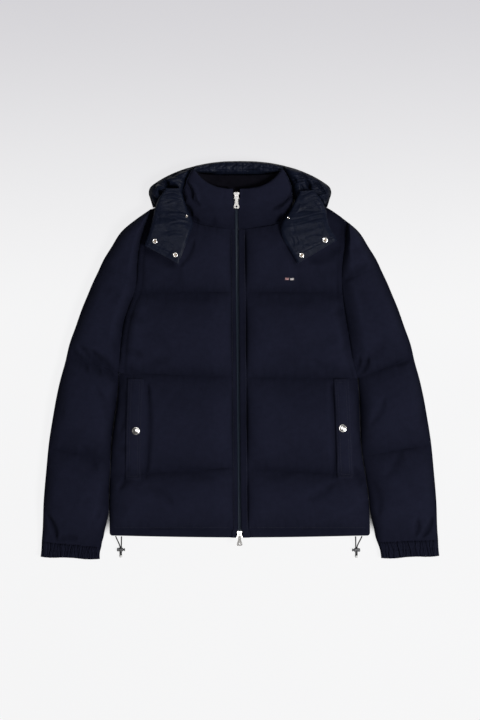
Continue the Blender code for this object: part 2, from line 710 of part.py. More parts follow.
def collar_point(station, up):
    """A point of the collar's neck-side face, and its share of the way from front edge to back middle."""
    names = ("base_x", "base_y", "base_z", "top_x", "top_y", "top_z", "bulge")
    bx, by, bz, tx, ty, tz, bulge = by_row(station, COLLAR, names)
    lean = mix(up, up**1.25, 1) if station < 6 else ease(up) * 0.6 + up * 0.4
    by = max(by, float(np.interp(bx, FRONT_NECK["x"], FRONT_NECK["y"])) + 0.7) if station < 6 else by
    x = mix(bx, tx, up) + bulge * math.sin(math.pi * up)
    return Vector((x, mix(by, ty, up), mix(bz, tz, lean)))


def collar_normal(station, up):
    """Away from the neck: up on the front, outwards at the ear, down on the back."""
    along = collar_point(min(station + 0.05, 10), up) - collar_point(max(station - 0.05, 0), up)
    rising = collar_point(station, min(up + 0.02, 1)) - collar_point(station, max(up - 0.02, 0))
    square = along.cross(rising).normalized()
    upright = (1 - ease(up / 0.2)) * (1 - ease((station - 3.5) / 1.5))
    return square.lerp(Vector((0, 0, 1)), upright).normalized()


def make_collar():
    half = len(COLLAR_COLUMNS)
    outer, inner = [], []
    for up in COLLAR_UP:
        for sign in (-1, 1):
            line = COLLAR_COLUMNS if sign < 0 else COLLAR_COLUMNS[-2::-1]
            for station in line:
                point, normal = collar_point(station, up), collar_normal(station, up)
                thick = mix(COLLAR_EDGE, COLLAR_THICK, ease((station - 0.3) / 2.2))
                if station > 5:
                    thick = mix(thick, 7.6, ease((station - 5) / 2))
                thick *= mix(0.62, 1, rise(1 - up, 0.12)) * mix(0.84, 1, rise(up + 0.01, 0.25))
                part = 1 - ease((station - 0.6) / 1.2)
                shift = spread(point.y) * part
                centre = mix(COLLAR_X, zip_x(point.y), 1 - ease((station - 1) / 2))
                out = point + normal * thick
                for each, target in ((out, outer), (point, inner)):
                    target.append((centre + sign * (each.x + shift), each.y, each.z))
    return wall("collar", outer, inner, grid(len(COLLAR_UP), 2 * half - 1), wool())


def make_hood_centre():
    """The hood's middle panel: gathered flat under the collar and rolled up behind it."""
    ups = (0, 0.3, 0.6, 0.8, 0.84, 0.865, 0.9, 0.94, 0.97, 1)
    acrosses = [-1 + k / 8 for k in range(17)]
    outer, inner = [], []
    for up in ups:
        for across in acrosses:
            x = across * float(smooth(up, HOOD_CENTRE["up"], HOOD_CENTRE["left" if across > 0 else "right"]))
            high_y = float(smooth(abs(x), HOOD_ARC["x"], HOOD_ARC["y"]))
            y = mix(HOOD_START_Y, high_y, up)
            edge = high_y - y
            rolled = HOOD_MID + (HOOD_ROLL_HIGH - HOOD_MID) * rise(edge, 8)
            flat = mix(7.6, 15.0, (y - HOOD_START_Y) / (HOOD_ROLL_Y - HOOD_START_Y))
            top = mix(min(flat, rolled), rolled, ease((y - HOOD_ROLL_Y) / 4))
            outer.append((x, y, top))
            inner.append((x, y, min(HOOD_MID - RIM, top - 1.5) * (1 - rise(edge, 12))))
    return wall("hood_centre", outer, inner, grid(len(ups), len(acrosses)), nylon())


def make_hood_side(side, sign):
    """A side panel of the hood, gathered into a soft roll between collar, shoulder and silhouette."""
    stations = [7 * k / 18 for k in range(19)]
    acrosses = (0, 0.1, 0.3, 0.55, 0.78, 0.93, 1)
    outer, inner = [], []
    for station in stations:
        ix, iy = by_row(station, HOOD_INNER, ("x", "y"))
        ox, oy = by_row(station, HOOD_OUTER, ("x", "y"))
        if side == "left":
            ix -= HOOD_LEFT_IN * (1 - ease((station - 3) / 2))
        width = math.hypot(ox - ix, oy - iy)
        taper = rise(min(station, 7 - station) + 0.25, 1.2)
        for across in acrosses:
            x, y = mix(ix, ox, across), mix(iy, oy, across)
            profile = min(rise(across * width, 16), rise((1 - across) * width, 17)) * taper
            gather = 2.4 * math.sin(station * 5.2 + across * 1.7) * math.sin(math.pi * across)
            top = HOOD_MID + (HOOD_SIDE_HIGH - HOOD_MID) * profile + gather * profile
            outer.append((sign * x, y, top))
            inner.append((sign * x, y, (HOOD_MID - RIM) * (1 - profile)))
    return wall("hood_side_" + side, outer, inner, grid(len(stations), len(acrosses)), nylon())


def make_flap(side, sign, support):
    """A hood corner lying over the shoulder, with its rippled stitching lines."""
    rows = HOOD_FLAP[side]
    downs = [6 * k / 14 for k in range(15)]
    acrosses = (0, 0.06, 0.22, 0.42, 0.62, 0.82, 0.95, 1)
    under = {}
    for i, down in enumerate(downs):
        ox, oy, ix, iy = by_row(down, rows, ("outer_x", "outer_y", "inner_x", "inner_y"))
        for j, across in enumerate(acrosses):
            x, y = sign * mix(ox, ix, across), mix(oy, iy, across)
            under[i, j] = [x, y, lie_on(support, x, y, 12.0, 30.0) + GAP]
    for _ in range(3):
        flat = {key: list(point) for key, point in under.items()}
        for (i, j), point in flat.items():
            near = [flat[n][2] for n in ((i - 1, j), (i + 1, j), (i, j - 1), (i, j + 1)) if n in flat]
            under[i, j][2] = max(point[2], 0.5 * point[2] + 0.5 * sum(near) / len(near))
    outer, inner = [], []
    for (i, j), (x, y, z) in under.items():
        edge = min(acrosses[j], 1 - acrosses[j]) * 12
        end = min(i, len(downs) - 1 - i) / 2
        profile = rise(min(edge, end + 0.15), 1)
        ripple = 0.9 * math.sin(downs[i] * 7.5 + 1.5 * acrosses[j]) * math.sin(math.pi * acrosses[j])
        thick = mix(2.2, FLAP_THICK, profile) + ripple * profile * (downs[i] < 4.4)
        outer.append((x, y, z + thick))
        inner.append((x, y, z))
    return wall("hood_flap_" + side, outer, inner, grid(len(downs), len(acrosses)), nylon())


# ---------------------------------------------------------------- pocket welts and snaps

def make_welt(side, sign, support):
    rows = WELT[side]
    downs = [2 * k / WELT_ROWS for k in range(WELT_ROWS + 1)]
    acrosses = (0, 0.14, 0.86, 1)
    outer, inner = [], []
    for i, down in enumerate(downs):
        ox, ix, y = by_row(down, rows, ("outer_x", "inner_x", "y"))
        for across in acrosses:
            x = sign * mix(ox, ix, across)
            z = lie_on(support, x, y, 7.5, 0.0)
            edge = rise(min(across * 3, (1 - across) * 3, (min(i, WELT_ROWS - i) + 0.3) / 1.2), 1)
            outer.append((x, y, z + mix(1.4, WELT_THICK, edge)))
            inner.append((x, y, z))
    return wall("welt_" + side, outer, inner, grid(len(downs), len(acrosses)), wool())


def make_snap(side, name, x, y, diameter, high, sign, support):
    """A domed snap cap, seated square on the cloth under it."""
    x, r = sign * x, diameter / 2
    reach = r * 0.8
    dx = (support(x + reach, y) - support(x - reach, y)) / (2 * reach)
    dy = (support(x, y + reach) - support(x, y - reach)) / (2 * reach)
    normal = Vector((-dx, -dy, 1)).normalized()
    lift = 0
    for k in range(12):
        for far in (0, 0.5, 1.05):
            px, py = x + r * far * math.cos(k * math.pi / 6), y + r * far * math.sin(k * math.pi / 6)
            lift = max(lift, (Vector((px - x, py - y, support(px, py) - support(x, y)))).dot(normal))
    centre = Vector((x, y, support(x, y))) + normal * (lift + GAP)
    profile = [(0, 0), (r * 0.95, 0), (r, high * 0.5), (r * 0.78, high * 0.9), (0, high)]
    return finish(turned(profile, centre, 14, normal), f"snap_{name}_{side}", steel(), centre)


# ---------------------------------------------------------------- zip

def zip_height(y):
    """Height of the tape's underside along the zip."""
    up = min(max((y - NECK_Y) / 85.4, 0), 1)
    return TAPE_IN + 14.1 * up**1.25


def make_zip(side, sign):
    """One zip tape with its half of the coil."""
    section = [(0.15, 0), (12.4, 0), (12.4, 1.1), (3.3, 1.1), (2.9, 2.4), (1.9, 3.0), (0.8, 3.0), (0.15, 2.4)]
    ends = (SLIDER_MOUTH_Y["bottom"] + 0.4, SLIDER_MOUTH_Y["top"] - 0.4)
    heights = [ends[0], -200.0, -40.0, 120.0, 220.0, 255.0, 266.0, 272.0, 278.0, 285.0, 295.0, 306.0, 317.0]
    mesh = bmesh.new()
    rings = []
    for y in heights + [328.0, ends[1]]:
        z = zip_height(y)
        rings.append([mesh.verts.new((zip_x(y) + sign * dx, y, z + dz)) for dx, dz in section])
    for low, high in zip(rings, rings[1:]):
        for k in range(len(section)):
            nxt = (k + 1) % len(section)
            mesh.faces.new([low[k], low[nxt], high[nxt], high[k]])
    mesh.faces.new(rings[0])
    mesh.faces.new(rings[-1][::-1])
    return finish(mesh, "zip_" + side, material("zip_tape", (0.030, 0.040, 0.058), 0.6))


def zip_frame(which):
    """A slider's mouth (x, y, z of the tape's underside), which way its nose points, and its slope."""
    y = SLIDER_MOUTH_Y[which]
    facing = 1 if which == "top" else -1
    slope = (zip_height(y + 4) - zip_height(y - 4)) / 8 if which == "top" else 0.0
    return Vector((zip_x(y), y, zip_height(y))), facing, slope


def slider_outline():
    """Half of the slider's waisted plate, mouth to nose."""
    return [(SLIDER_HALF * 0.86, 0), (SLIDER_WAIST + 0.6, 4.2), (SLIDER_WAIST, 6.2), (SLIDER_WAIST + 0.9, 8.4),
            (SLIDER_HALF, 11.4), (SLIDER_HALF, 12.8), (SLIDER_HALF - 1.2, SLIDER_LONG)]


def make_slider(which):
    """Two waisted plates on a post, with lugs that carry the pull's pin."""
    base, facing, slope = zip_frame(which)
    half = slider_outline()
    outline = half + [(-x, y) for x, y in reversed(half)]
    if facing < 0:
        outline = [(x, -y) for x, y in outline][::-1]
    low, high = -SLIDER_PLATE - 0.4, 3.4
    bottom = finish(plate(outline, low, 0 - 0.4), f"slider_{which}", steel())
    parts = [
        plate(outline, high, high + SLIDER_PLATE),
        box((-2.2, 2.2), sorted((facing * 8.6, facing * 11.6)), (-0.8, high + 0.4)),
    ]
    for sign in (-1, 1):
        parts.append(box(sorted((sign * 1.5, sign * 2.6)), sorted((facing * 3.6, facing * 6.8)),
                         (high + SLIDER_PLATE - 0.4, high + SLIDER_PLATE + 2.6)))
    for k, part in enumerate(parts):
        helper = finish(part, f"{bottom.name}_part_{k}", steel())
        helper.parent = bottom
        boolean(bottom, helper, "UNION")
    bottom.location = base * MM
    bottom.rotation_euler = (math.atan(slope), 0, 0)
    return bottom


def make_pull(which, slider):
    """A pull tab whose end turns between the slider's lugs."""
    facing = 1 if which == "top" else -1
    axis_y, axis_z = facing * 5.2, 3.4 + SLIDER_PLATE + 1.5
    half = [(1.1, 1.2), (1.1, -3.4), (3.2, -6.0), (3.3, -13.0), (5.6, -21.5), (5.6, -23.6), (4.0, -PULL_LONG)]
    outline = half + [(-x, y) for x, y in reversed(half)]
    tab = finish(plate(outline[::-1], -0.65, 0.65), f"pull_{which}", steel())
    turns = [math.pi * k / 8 for k in range(16)]
    ring = [(2.0 * math.cos(t), -21.0 + 1.6 * math.sin(t)) for t in turns]
    hole = finish(plate(ring, -3, 3), f"pull_{which}_hole", steel())
    hole.parent = tab
    boolean(tab, hole, "DIFFERENCE")
    tab.parent = slider
    tab.location = Vector((0, axis_y, axis_z)) * MM
    tab.rotation_euler = (math.radians(PULL_TILT[which]), 0, 0)
    return tab


# ---------------------------------------------------------------- hem drawcord

def cord_route(side, which):
    """Points down one strand: out of the hem, through the toggle, to the end bead."""
    (ex, ey), (tx, ty) = CORD_EXIT[side][which], TOGGLE[side]
    lane = 1.3 if ex > tx else -1.3
    return [
        (ex, ey, CORD_Z), (mix(ex, tx + lane, 0.25), ey - 5.5, CORD_Z - 2.2),
        (mix(ex, tx + lane, 0.66), ey - 14.0, 9.2), (tx + lane, ty + TOGGLE_RADIUS + 2.5, TOGGLE_Z + 0.2),
        (tx + lane, ty, TOGGLE_Z), (tx + lane, ty - TOGGLE_RADIUS - 3, TOGGLE_Z - 0.4),
        (tx + lane, bead_top(side) + GAP, 3.6),
    ]


def bead_top(side):
    return TOGGLE[side][1] - TOGGLE_RADIUS - 8.0


def make_cord(side, sign, which):
    route = np.array(cord_route(side, which))
    at = np.linspace(0, len(route) - 1, 12)
    rows = np.arange(len(route), dtype=float)
    line = np.stack([smooth(at, rows, route[:, k]) for k in range(3)], axis=1)
    curve = bpy.data.curves.new(f"hem_cord_{side}_{'ab'[which]}", "CURVE")
    curve.dimensions = "3D"
    curve.bevel_depth = CORD_RADIUS * MM
    curve.bevel_resolution = 2
    curve.use_fill_caps = True
    spline = curve.splines.new("POLY")
    spline.points.add(len(line) - 1)
    for point, (x, y, z) in zip(spline.points, line):
        point.co = (sign * x * MM, y * MM, z * MM, 1)
    curve.materials.append(material("black_cord", (0.02, 0.02, 0.022), 0.8))
    made = bpy.data.objects.new(curve.name, curve)
    bpy.context.scene.collection.objects.link(made)
    return made


def lying(profile, centre, way):
    """A turned piece that lies along X, its top pointing to +X or -X by way."""
    mesh = turned(profile, (0, 0, 0), 12)
    turn = Matrix.Translation(centre) @ Matrix.Rotation(way * math.pi / 2, 4, "Y")
    bmesh.ops.transform(mesh, matrix=turn, verts=mesh.verts)
    return mesh


def make_toggle(side, sign):
    """A barrel toggle: body with a slot for both strands, and a spring button in its inner end."""
    tx, ty = TOGGLE[side]
    end, radius = TOGGLE_LONG / 2, TOGGLE_RADIUS
    profile = [
        (0, -end), (radius - 0.8, -end), (radius, 0.9 - end), (radius, end - 0.6), (radius - 0.6, end),
        (2.3, end), (2.3, end - TOGGLE_BORE), (0, end - TOGGLE_BORE),
    ]
    stem, face = end - BUTTON_IN, end + BUTTON_TRAVEL + 0.3
    knob = [(0, stem), (1.9, stem), (1.9, face), (3.1, face), (3.1, face + 1.2), (2.3, face + 1.8)]
    knob.append((0, face + 1.8))
    centre = (sign * (tx + TOGGLE_SHIFT), ty, TOGGLE_Z)
    body = finish(lying(profile, centre, -sign), "cord_lock_" + side, steel())
    wide, tall = [size / 2 for size in CORD_HOLE]
    middle = sign * tx
    slot = box((middle - wide, middle + wide), (ty - 9, ty + 9), (TOGGLE_Z - tall, TOGGLE_Z + tall))
    boolean(body, finish(slot, f"cord_lock_{side}_slot", steel()), "DIFFERENCE")
    finish(lying(knob, centre, -sign), "cord_plunger_" + side, steel(), centre)
    return body


def make_bead(side, sign):
    """The pale end bead that both strands run into."""
    profile = [(0, 0), (2.9, 0), (3.3, 0.8), (3.3, 2.2), (2.6, 3.8), (1.4, BEAD_LONG), (0, BEAD_LONG)]
    mesh = turned(profile, (0, 0, 0), 12)
    centre = (sign * TOGGLE[side][0], bead_top(side), 3.6)
    turn = Matrix.Translation(centre) @ Matrix.Rotation(math.pi / 2, 4, "X")
    bmesh.ops.transform(mesh, matrix=turn, verts=mesh.verts)
    return finish(mesh, "cord_end_" + side, material("pale_plastic", (0.75, 0.75, 0.74), 0.35), centre)


def main():
    for old in list(bpy.data.objects):
        bpy.data.objects.remove(old, do_unlink=True)
    back = make_back()
    fronts = {side: make_front(side, sign) for side, sign in SIDES}
    sleeves = [make_sleeve(side, sign) for side, sign in SIDES]
    for side, sign in SIDES:
        make_cuff(side, sign)
    collar = make_collar()
    hoods = [make_hood_centre()] + [make_hood_side(side, sign) for side, sign in SIDES]
    bpy.context.view_layer.update()
    ground = top_of([back, collar, *fronts.values(), *sleeves, *hoods])
    flaps = {side: make_flap(side, sign, ground) for side, sign in SIDES}
    welts = {side: make_welt(side, sign, ground) for side, sign in SIDES}
    bpy.context.view_layer.update()
    seats = {"pocket": top_of(welts.values()), "hood": top_of(flaps.values())}
    signs = dict(SIDES)
    for side, name, x, y, diameter, high in SNAPS:
        make_snap(side, name, x, y, diameter, high, signs[side], seats[name.split("_")[0]])
    for side, sign in SIDES:
        make_zip(side, sign)
        for which in (0, 1):
            make_cord(side, sign, which)
        make_toggle(side, sign)
        make_bead(side, sign)
    for which in ("top", "bottom"):
        make_pull(which, make_slider(which))


main()
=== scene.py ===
import math

import bmesh
import bpy
import numpy as np
from mathutils import Matrix, Vector
from mathutils.bvhtree import BVHTree


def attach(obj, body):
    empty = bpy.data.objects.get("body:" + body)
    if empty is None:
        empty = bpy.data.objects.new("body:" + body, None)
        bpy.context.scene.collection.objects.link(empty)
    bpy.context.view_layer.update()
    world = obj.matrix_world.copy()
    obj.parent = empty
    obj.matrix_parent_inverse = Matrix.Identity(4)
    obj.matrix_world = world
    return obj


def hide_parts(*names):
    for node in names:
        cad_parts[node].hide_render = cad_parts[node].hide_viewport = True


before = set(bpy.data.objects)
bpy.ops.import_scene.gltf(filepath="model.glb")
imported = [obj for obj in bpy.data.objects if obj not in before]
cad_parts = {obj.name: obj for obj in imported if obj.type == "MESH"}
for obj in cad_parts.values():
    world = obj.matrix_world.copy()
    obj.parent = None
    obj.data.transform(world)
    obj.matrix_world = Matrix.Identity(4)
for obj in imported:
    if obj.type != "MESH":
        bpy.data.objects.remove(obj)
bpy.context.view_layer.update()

# Sizes and tables are in millimetres in the garment's frame. Distances in the tables are measured
# outwards from the centre line, on either side of it.
MM = 0.001
SIDES = (("right", -1), ("left", 1))
BODY = "jacket"

BACK_TOP = 20.0
FRONT_IN = 20.3
FRONT_CROWN = 25.0
FRONT_SEAM = 7.5
ARMHOLE_SEAM = 8.0
RIM = 2.6
SIDE_ROUND = 30.0
SIDE_ROLL = 50.0
HEM_ROUND = 9.0
NECK_SEAM = 8.6
ZIP_NECK_X = -6.6
ZIP_HEM_X = -0.8
NECK_Y = 272.0
HEM_Y = -370.6
PLACKET_EDGE = 3.4
TAPE_IN = 22.4
PLACKET_IN = 24.1
PLACKET_THICK = 4.4
PLACKET_STITCH = {"right": 13.0, "left": 17.5}
ZIP_REACH = 36.0
SLIDER_SPREAD = 3.6
SLIDER_MOUTH_Y = {"top": 337.4, "bottom": -357.2}
CHEST_Y = 142.0
WAIST_Y = -35.0
LOW_Y = -224.0
LOW_SIDE_Y = -241.0
HEM_STITCH_Y = -352.0
HEM_SIDE_Y = -366.5
COLLAR_X = -4.5
COLLAR_THICK = 8.8
COLLAR_EDGE = 3.4
SLEEVE_MID = 19.6
SLEEVE_QUILT_Y = 198.0
CUFF_MID = 8.3
SLIT = 2.4
SLEEVE_CROWN = 26.0
LOW_SLEEVE_CROWN = 22.0
BAFFLE = 185.0          # height of a baffle, and of the lowest one of the fronts
LOW_BAFFLE = 115.0
SIDE_STRIP = 30.0       # width of the finer columns along the side of a front
RAY_HIGH = 200          # where rays start above everything
CUFF_WALL = 7.0


def table(names, rows):
    """The columns of a table by name."""
    return {name: np.array(column, float) for name, column in zip(names.split(), zip(*rows))}


ARMHOLE = table("right_x right_y left_x left_y", [
    (185, 316, 226.5, 287.6), (196, 287, 222, 264), (205, 258, 219, 238),
    (211.5, 228, 215, 211), (214.5, 196, 213.2, 187), (215.5, 166, 213, 164),
    (219.5, 143, 214, 142), (230, 117, 217, 115), (240.5, 86, 222, 83),
    (247, 50, 228, 48), (250.5, 12, 235, 6), (252.5, -26, 246, -37),
])
ARM_QUILT, ARM_CHEST, ARM_UNDER = 5, 6, 11
SIDE_SEAM = table("y right left", [
    (-372, 272.5, 272), (-325, 273, 271), (-293, 273.3, 269.2), (-251, 271, 265),
    (-209, 267, 260), (-167, 262, 256), (-126, 257, 252.8), (-84, 254, 250),
    (-26, 252.5, 245),
])
SHOULDER = {
    "right": table("x y", [(124, 329), (155, 325.6), (185, 316)]),
    "left": table("x y", [(115, 329), (150, 326), (182, 318.6), (205, 304), (226.5, 287.6)]),
}
FRONT_NECK = table("x y", [
    (0, 271.8), (39, 276.4), (72, 281.5), (97, 289.5), (113, 301), (119.5, 329),
])
BACK_LINE = table("x y", [
    (-185, 316), (-177, 319.2), (-160, 324.3), (-127, 328.5), (-122, 311), (-70, 310.4),
    (-4.5, 310.4), (66, 310.4), (113, 311), (118, 328.5), (152, 325.7), (182, 318.4),
    (205, 303.8), (226.5, 287.6),
])
SLEEVE_OUTER = table("y x", [
    (-413, 418), (-381.6, 415.8), (-356.4, 413.7), (-293.4, 410.6), (-230.4, 405.3),
    (-167.4, 399), (-117, 391), (-79.2, 384.3), (-41.4, 375.9), (-3.6, 365.4),
    (34.2, 356.5), (72, 343), (109.8, 329.7), (135, 319.2), (160.2, 308.7),
    (185.4, 296.8), (210.6, 285), (235.8, 269.5), (273.6, 243.6), (298.8, 212), (316, 187),
])
SLEEVE_INNER = table("y right left", [
    (-420, 294, 297), (-394, 291, 291), (-381, 289, 287.5), (-369, 285.6, 283.6),
    (-356, 283.2, 281.2), (-340, 279, 277.2), (-318, 274.5, 272.5), (-293, 274.3, 270.4),
    (-251, 272, 266.2), (-209, 268, 261.2), (-167, 263, 257.2), (-126, 258, 254),
    (-84, 255, 251.2), (-26, 253.5, 246.4),
])
SLEEVE_ROWS = {
    "right": table("outer inner", [(8, -26), (-183, -208), (-379.5, -391.5)]),
    "left": table("outer inner", [(8, -37), (-176, -200), (-375.5, -380.5)]),
}
SLEEVE_TIP_Y = {"right": 315.4, "left": 286.4}
CUFF_END = {"right": (-411.5, -416.8), "left": (-409.5, -415.0)}
COLLAR = table("base_x base_y base_z top_x top_y top_z bulge", [
    (3.4, 272.2, 24.2, 3.4, 357.6, 38.3, 0), (14, 273.2, 24.2, 13, 357.8, 38.3, 0),
    (34, 276.3, 23.2, 30, 359.5, 38.5, 1), (60, 280.1, 22.3, 49, 364, 39, 3),
    (84, 287.2, 22.3, 69, 374.5, 40, 6), (98, 300, 22, 83, 388, 41, 9),
    (103.5, 315, 21.8, 88.5, 395.5, 39, 10.5), (101, 324.5, 21, 86, 394, 36, 9.5),
    (88, 321.5, 18.6, 76, 389, 30.5, 5), (50, 314.5, 18, 40, 386.5, 28.3, 1),
    (0, 311.6, 18, 0, 386, 28, 0),
])
HOOD_OUTER = table("x y", [
    (92, 407.6), (119.7, 399.6), (149.1, 387.5), (172.2, 374.6), (187.5, 362.8),
    (191.2, 350), (187.5, 336.6), (182.6, 320.4),
])
HOOD_INNER = table("x y", [
    (95.5, 402), (104, 392), (115, 375), (121.5, 356), (125, 338),
    (141, 329.2), (161, 325.4), (180.4, 320.2),
])
HOOD_ARC = table("x y", [(0, 417.4), (37.8, 416.2), (71.4, 412), (91, 407.9)])
HOOD_SIDE_HIGH = 38.0
HOOD_ROLL_HIGH = 35.0
HOOD_MID = 13.0
HOOD_START_Y = 311.4
HOOD_ROLL_Y = 390.5
HOOD_TUCK = {            # how far the hood's sides reach in under the collar, by row of HOOD_INNER
    "right": (3.5, 5.0, 6.0, 7.0, 6.0, 3.0, 0.0, 0.0), "left": (7.5, 11.0, 11.0, 12.0, 13.0, 5.0, 0.0, 0.0),
}
HOOD_CENTRE = table("up right left", [
    (0, 113, 108), (0.55, 113, 107), (0.66, 112.5, 104.5), (0.76, 108.5, 99), (0.835, 102, 93.2),
    (0.9, 97, 90), (0.95, 94, 90.5), (1, 92, 91.6),
])
HOOD_FLAP = {
    "right": table("outer_x outer_y inner_x inner_y", [
        (154, 357.6, 124.5, 357.6), (167, 341, 117.5, 337), (177, 318, 108.5, 311),
        (182, 296, 98.5, 285), (188, 272, 107.5, 256), (194, 254, 118, 227),
        (199.5, 239.4, 127.5, 200.5),
    ]),
    "left": table("outer_x outer_y inner_x inner_y", [
        (153, 354, 125, 352), (166, 338, 114, 331), (178, 317, 102.5, 309),
        (181.5, 298, 87, 286), (184.5, 281, 86.5, 262), (193, 265, 102, 232),
        (202.2, 250.5, 120.5, 202),
    ]),
}
WELT = {
    "right": table("outer_x inner_x y", [
        (234.5, 200.6, -37.5), (237.5, 203.5, -140), (239.5, 206, -251)]),
    "left": table("outer_x inner_x y", [
        (229, 195.5, -37.5), (233, 199, -140), (237.5, 203, -247)]),
}
WELT_HIGH = 2.6
WELT_STITCHES = (3.6, 8.4)      # distances of the two seams from the edge

CAMERA_HIGH = 5.0       # metres
VIEW_TALL = 1.512
CAMERA_Y = 0.0006
SENSOR = 36             # millimetres
WORLD = 0.07
LAMPS = (               # name, place, size, watts
    ("key", (3.4, -1.7, 5.0), 1.8, 275.0),
    ("card", (0.2, 0.1, 5.6), 2.4, 46.0),
)
POOL = (120.0, math.radians(10), 1.0, 0.4)      # watts, cone, soft edge, size of the light over the middle
POOL_PLACE = (0.02, -0.06, 5.8)
FLOOR_PAINTED_GLOW = 0.92        # share of the floor's brightness that is its own painted glow, as on a light table, which keeps shadows on it faint
FLOOR_HALF = 6          # metres from the middle to each side
FLOOR_Z = -0.0004
FLOOR_PAINTED_FALLOFF = (0.05, 0.95)       # heights in the picture between which a painted falloff of light darkens the floor, in metres
FLOOR_GAP = 0.06        # reach in metres over which gaps shade the floor
FLOOR_OPEN = (0.1, 0.36)        # share of open sky between which the glow comes up
# floor colours at the bottom of the picture and, with the painted falloff of light, at the top
FLOOR_LOW = (0.935, 0.935, 0.94)
FLOOR_TOP_PAINTED_DIM = (0.66, 0.65, 0.68)

# ---------------------------------------------------------------- curves and profiles

def smooth(at, xs, ys):
    """Reads a smooth curve through table points, with xs rising."""
    slope = np.gradient(ys, xs)
    at = np.clip(at, xs[0], xs[-1])
    row = np.clip(np.searchsorted(xs, at) - 1, 0, len(xs) - 2)
    step = xs[row + 1] - xs[row]
    t = (at - xs[row]) / step
    start = (2 * t**3 - 3 * t**2 + 1) * ys[row] + (t**3 - 2 * t**2 + t) * step * slope[row]
    return start + (3 * t**2 - 2 * t**3) * ys[row + 1] + (t**3 - t**2) * step * slope[row + 1]


def by_row(station, columns, names):
    """A smooth reading of table columns at fractional row numbers."""
    rows = np.arange(len(columns[names[0]]), dtype=float)
    return [smooth(station, rows, columns[name]) for name in names]


def at_height(at, columns, name):
    """A smooth reading of one table column at these heights."""
    return smooth(at, columns["y"], columns[name])


def mix(a, b, t):
    return a + (b - a) * t


def ease(t):
    t = np.clip(t, 0.0, 1.0)
    return t * t * (3 - 2 * t)


def rise(distance, radius):
    """A quarter-round: 0 at an edge, 1 once the distance reaches the radius."""
    t = np.clip(distance / radius, 0.0, 1.0)
    return np.sqrt(1 - (1 - t) ** 2)


def puff(s):
    """The fullness of a baffle between two seams, 0 to 1 to 0."""
    return np.sin(np.pi * np.clip(s, 0.0, 1.0)) ** 0.88


def puckered(to_seam, reach):
    """How strongly cloth puckers at a distance from its quilting seam."""
    return np.exp(-to_seam / reach) * (1 - np.exp(-to_seam / 1.6))


def groove(distance, width):
    """A soft channel, 1 in the middle."""
    return np.exp(-((distance / width) ** 2))


def ripple(u, seed=0.0):
    """An irregular wave from -1 to 1, of about one swing per unit of u."""
    waves = np.sin(6.28 * 0.61 * u + seed * 1.7) + np.sin(6.28 * 1.0 * u + seed * 2.9 + 1.1)
    return (waves + 0.8 * np.sin(6.28 * 1.63 * u + seed * 4.3 + 2.3)) / 2.8


def patches(x, y, size, seed=0.0):
    """Soft uneven swells, -1 to 1, about size apart."""
    u, v = x / size, y / size
    swell = ripple(u * 0.55 + 0.31 * v, seed) + ripple(v * 0.6 - 0.27 * u, seed + 3.1)
    return (swell + ripple((u + v) * 0.37, seed + 7.7)) / 3


def creases(x, y, rows):
    """Troughs (depth below 0) and ridges along short lines: x, y, to x, to y, width, depth."""
    height = np.zeros_like(x)
    for x0, y0, x1, y1, width, depth in rows:
        dx, dy = x1 - x0, y1 - y0
        long = math.hypot(dx, dy)
        along = ((x - x0) * dx + (y - y0) * dy) / long
        bend = min(0.08 * long, 4.0) * np.sin(np.pi * np.clip(along / long, 0, 1))
        across = ((y - y0) * dx - (x - x0) * dy) / long - bend
        ends = ease((along + width) / (2.2 * width)) * ease((long - along + width) / (2.2 * width))
        taper = mix(0.45, 1, np.sin(np.pi * np.clip(along / long, 0, 1)))
        height += depth * ends * groove(across, width * taper)
    return height


def graded(count, seam=0.55):
    """count places from 0 to 1, closer together near both ends."""
    t = np.linspace(0, 1, count)
    return mix(t, (1 - np.cos(np.pi * t)) / 2, seam)


def swing(side, y):
    """How far the side seam lies outwards of its drawn line: out on the right, in on the left."""
    return 6.0 * groove(y + 150, 70) if side == "right" else -4.0 * groove(y + 175, 70)


def corner(y):
    """How far the side edge draws in at the rounded corner of the hem."""
    return 6.0 * (1 - rise(y - HEM_SIDE_Y + 0.2, 7))


def side_edge(side, y):
    """How far the side edges of front and back lie from the centre line."""
    return at_height(y, SIDE_SEAM, side) + swing(side, y) - corner(y)


def zip_x(y):
    """Where the zip runs: it leans a little."""
    return mix(ZIP_HEM_X, ZIP_NECK_X, (y - HEM_Y) / (NECK_Y - HEM_Y))


def spread(y):
    """How far the sliders push the folded front edges aside at this height."""
    at_top = ease((y - SLIDER_MOUTH_Y["top"] + 8) / 6)
    at_hem = ease((SLIDER_MOUTH_Y["bottom"] + 6 - y) / 8)
    return SLIDER_SPREAD * np.maximum(at_top, at_hem)


# ---------------------------------------------------------------- making pieces

def placed(name, data, place=(0, 0, 0)):
    """An object of this data in the scene."""
    made = bpy.data.objects.new(name, data)
    made.location = place
    bpy.context.scene.collection.objects.link(made)
    return made


def finish(mesh, name, material, slot, sharp=60.0):
    """An object from a bmesh in millimetres, riding on the jacket."""
    bmesh.ops.recalc_face_normals(mesh, faces=mesh.faces)
    bmesh.ops.scale(mesh, verts=mesh.verts, vec=(MM, MM, MM))
    data = bpy.data.meshes.new(name)
    mesh.to_mesh(data)
    mesh.free()
    data.shade_smooth()
    data.set_sharp_from_angle(angle=math.radians(sharp))
    data.materials.append(material)
    made = placed(name, data)
    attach(made, BODY)
    return made


def dress(made, material, faces):
    """Gives a second material to the faces marked 1, counted from the first face."""
    made.data.materials.append(material)
    marks = np.zeros(len(made.data.polygons), int)
    marks[:len(faces)] = faces
    made.data.polygons.foreach_set("material_index", marks)
    return made


def numbered(rows, columns):
    """Where each point of a rows x columns grid is in the list of its points."""
    return np.arange(rows * columns).reshape(rows, columns)


def quads_of(index):
    """Quads of a grid whose points are numbered by index."""
    corners = (index[:-1, :-1], index[:-1, 1:], index[1:, 1:], index[1:, :-1])
    return np.stack([c.ravel() for c in corners], axis=1)


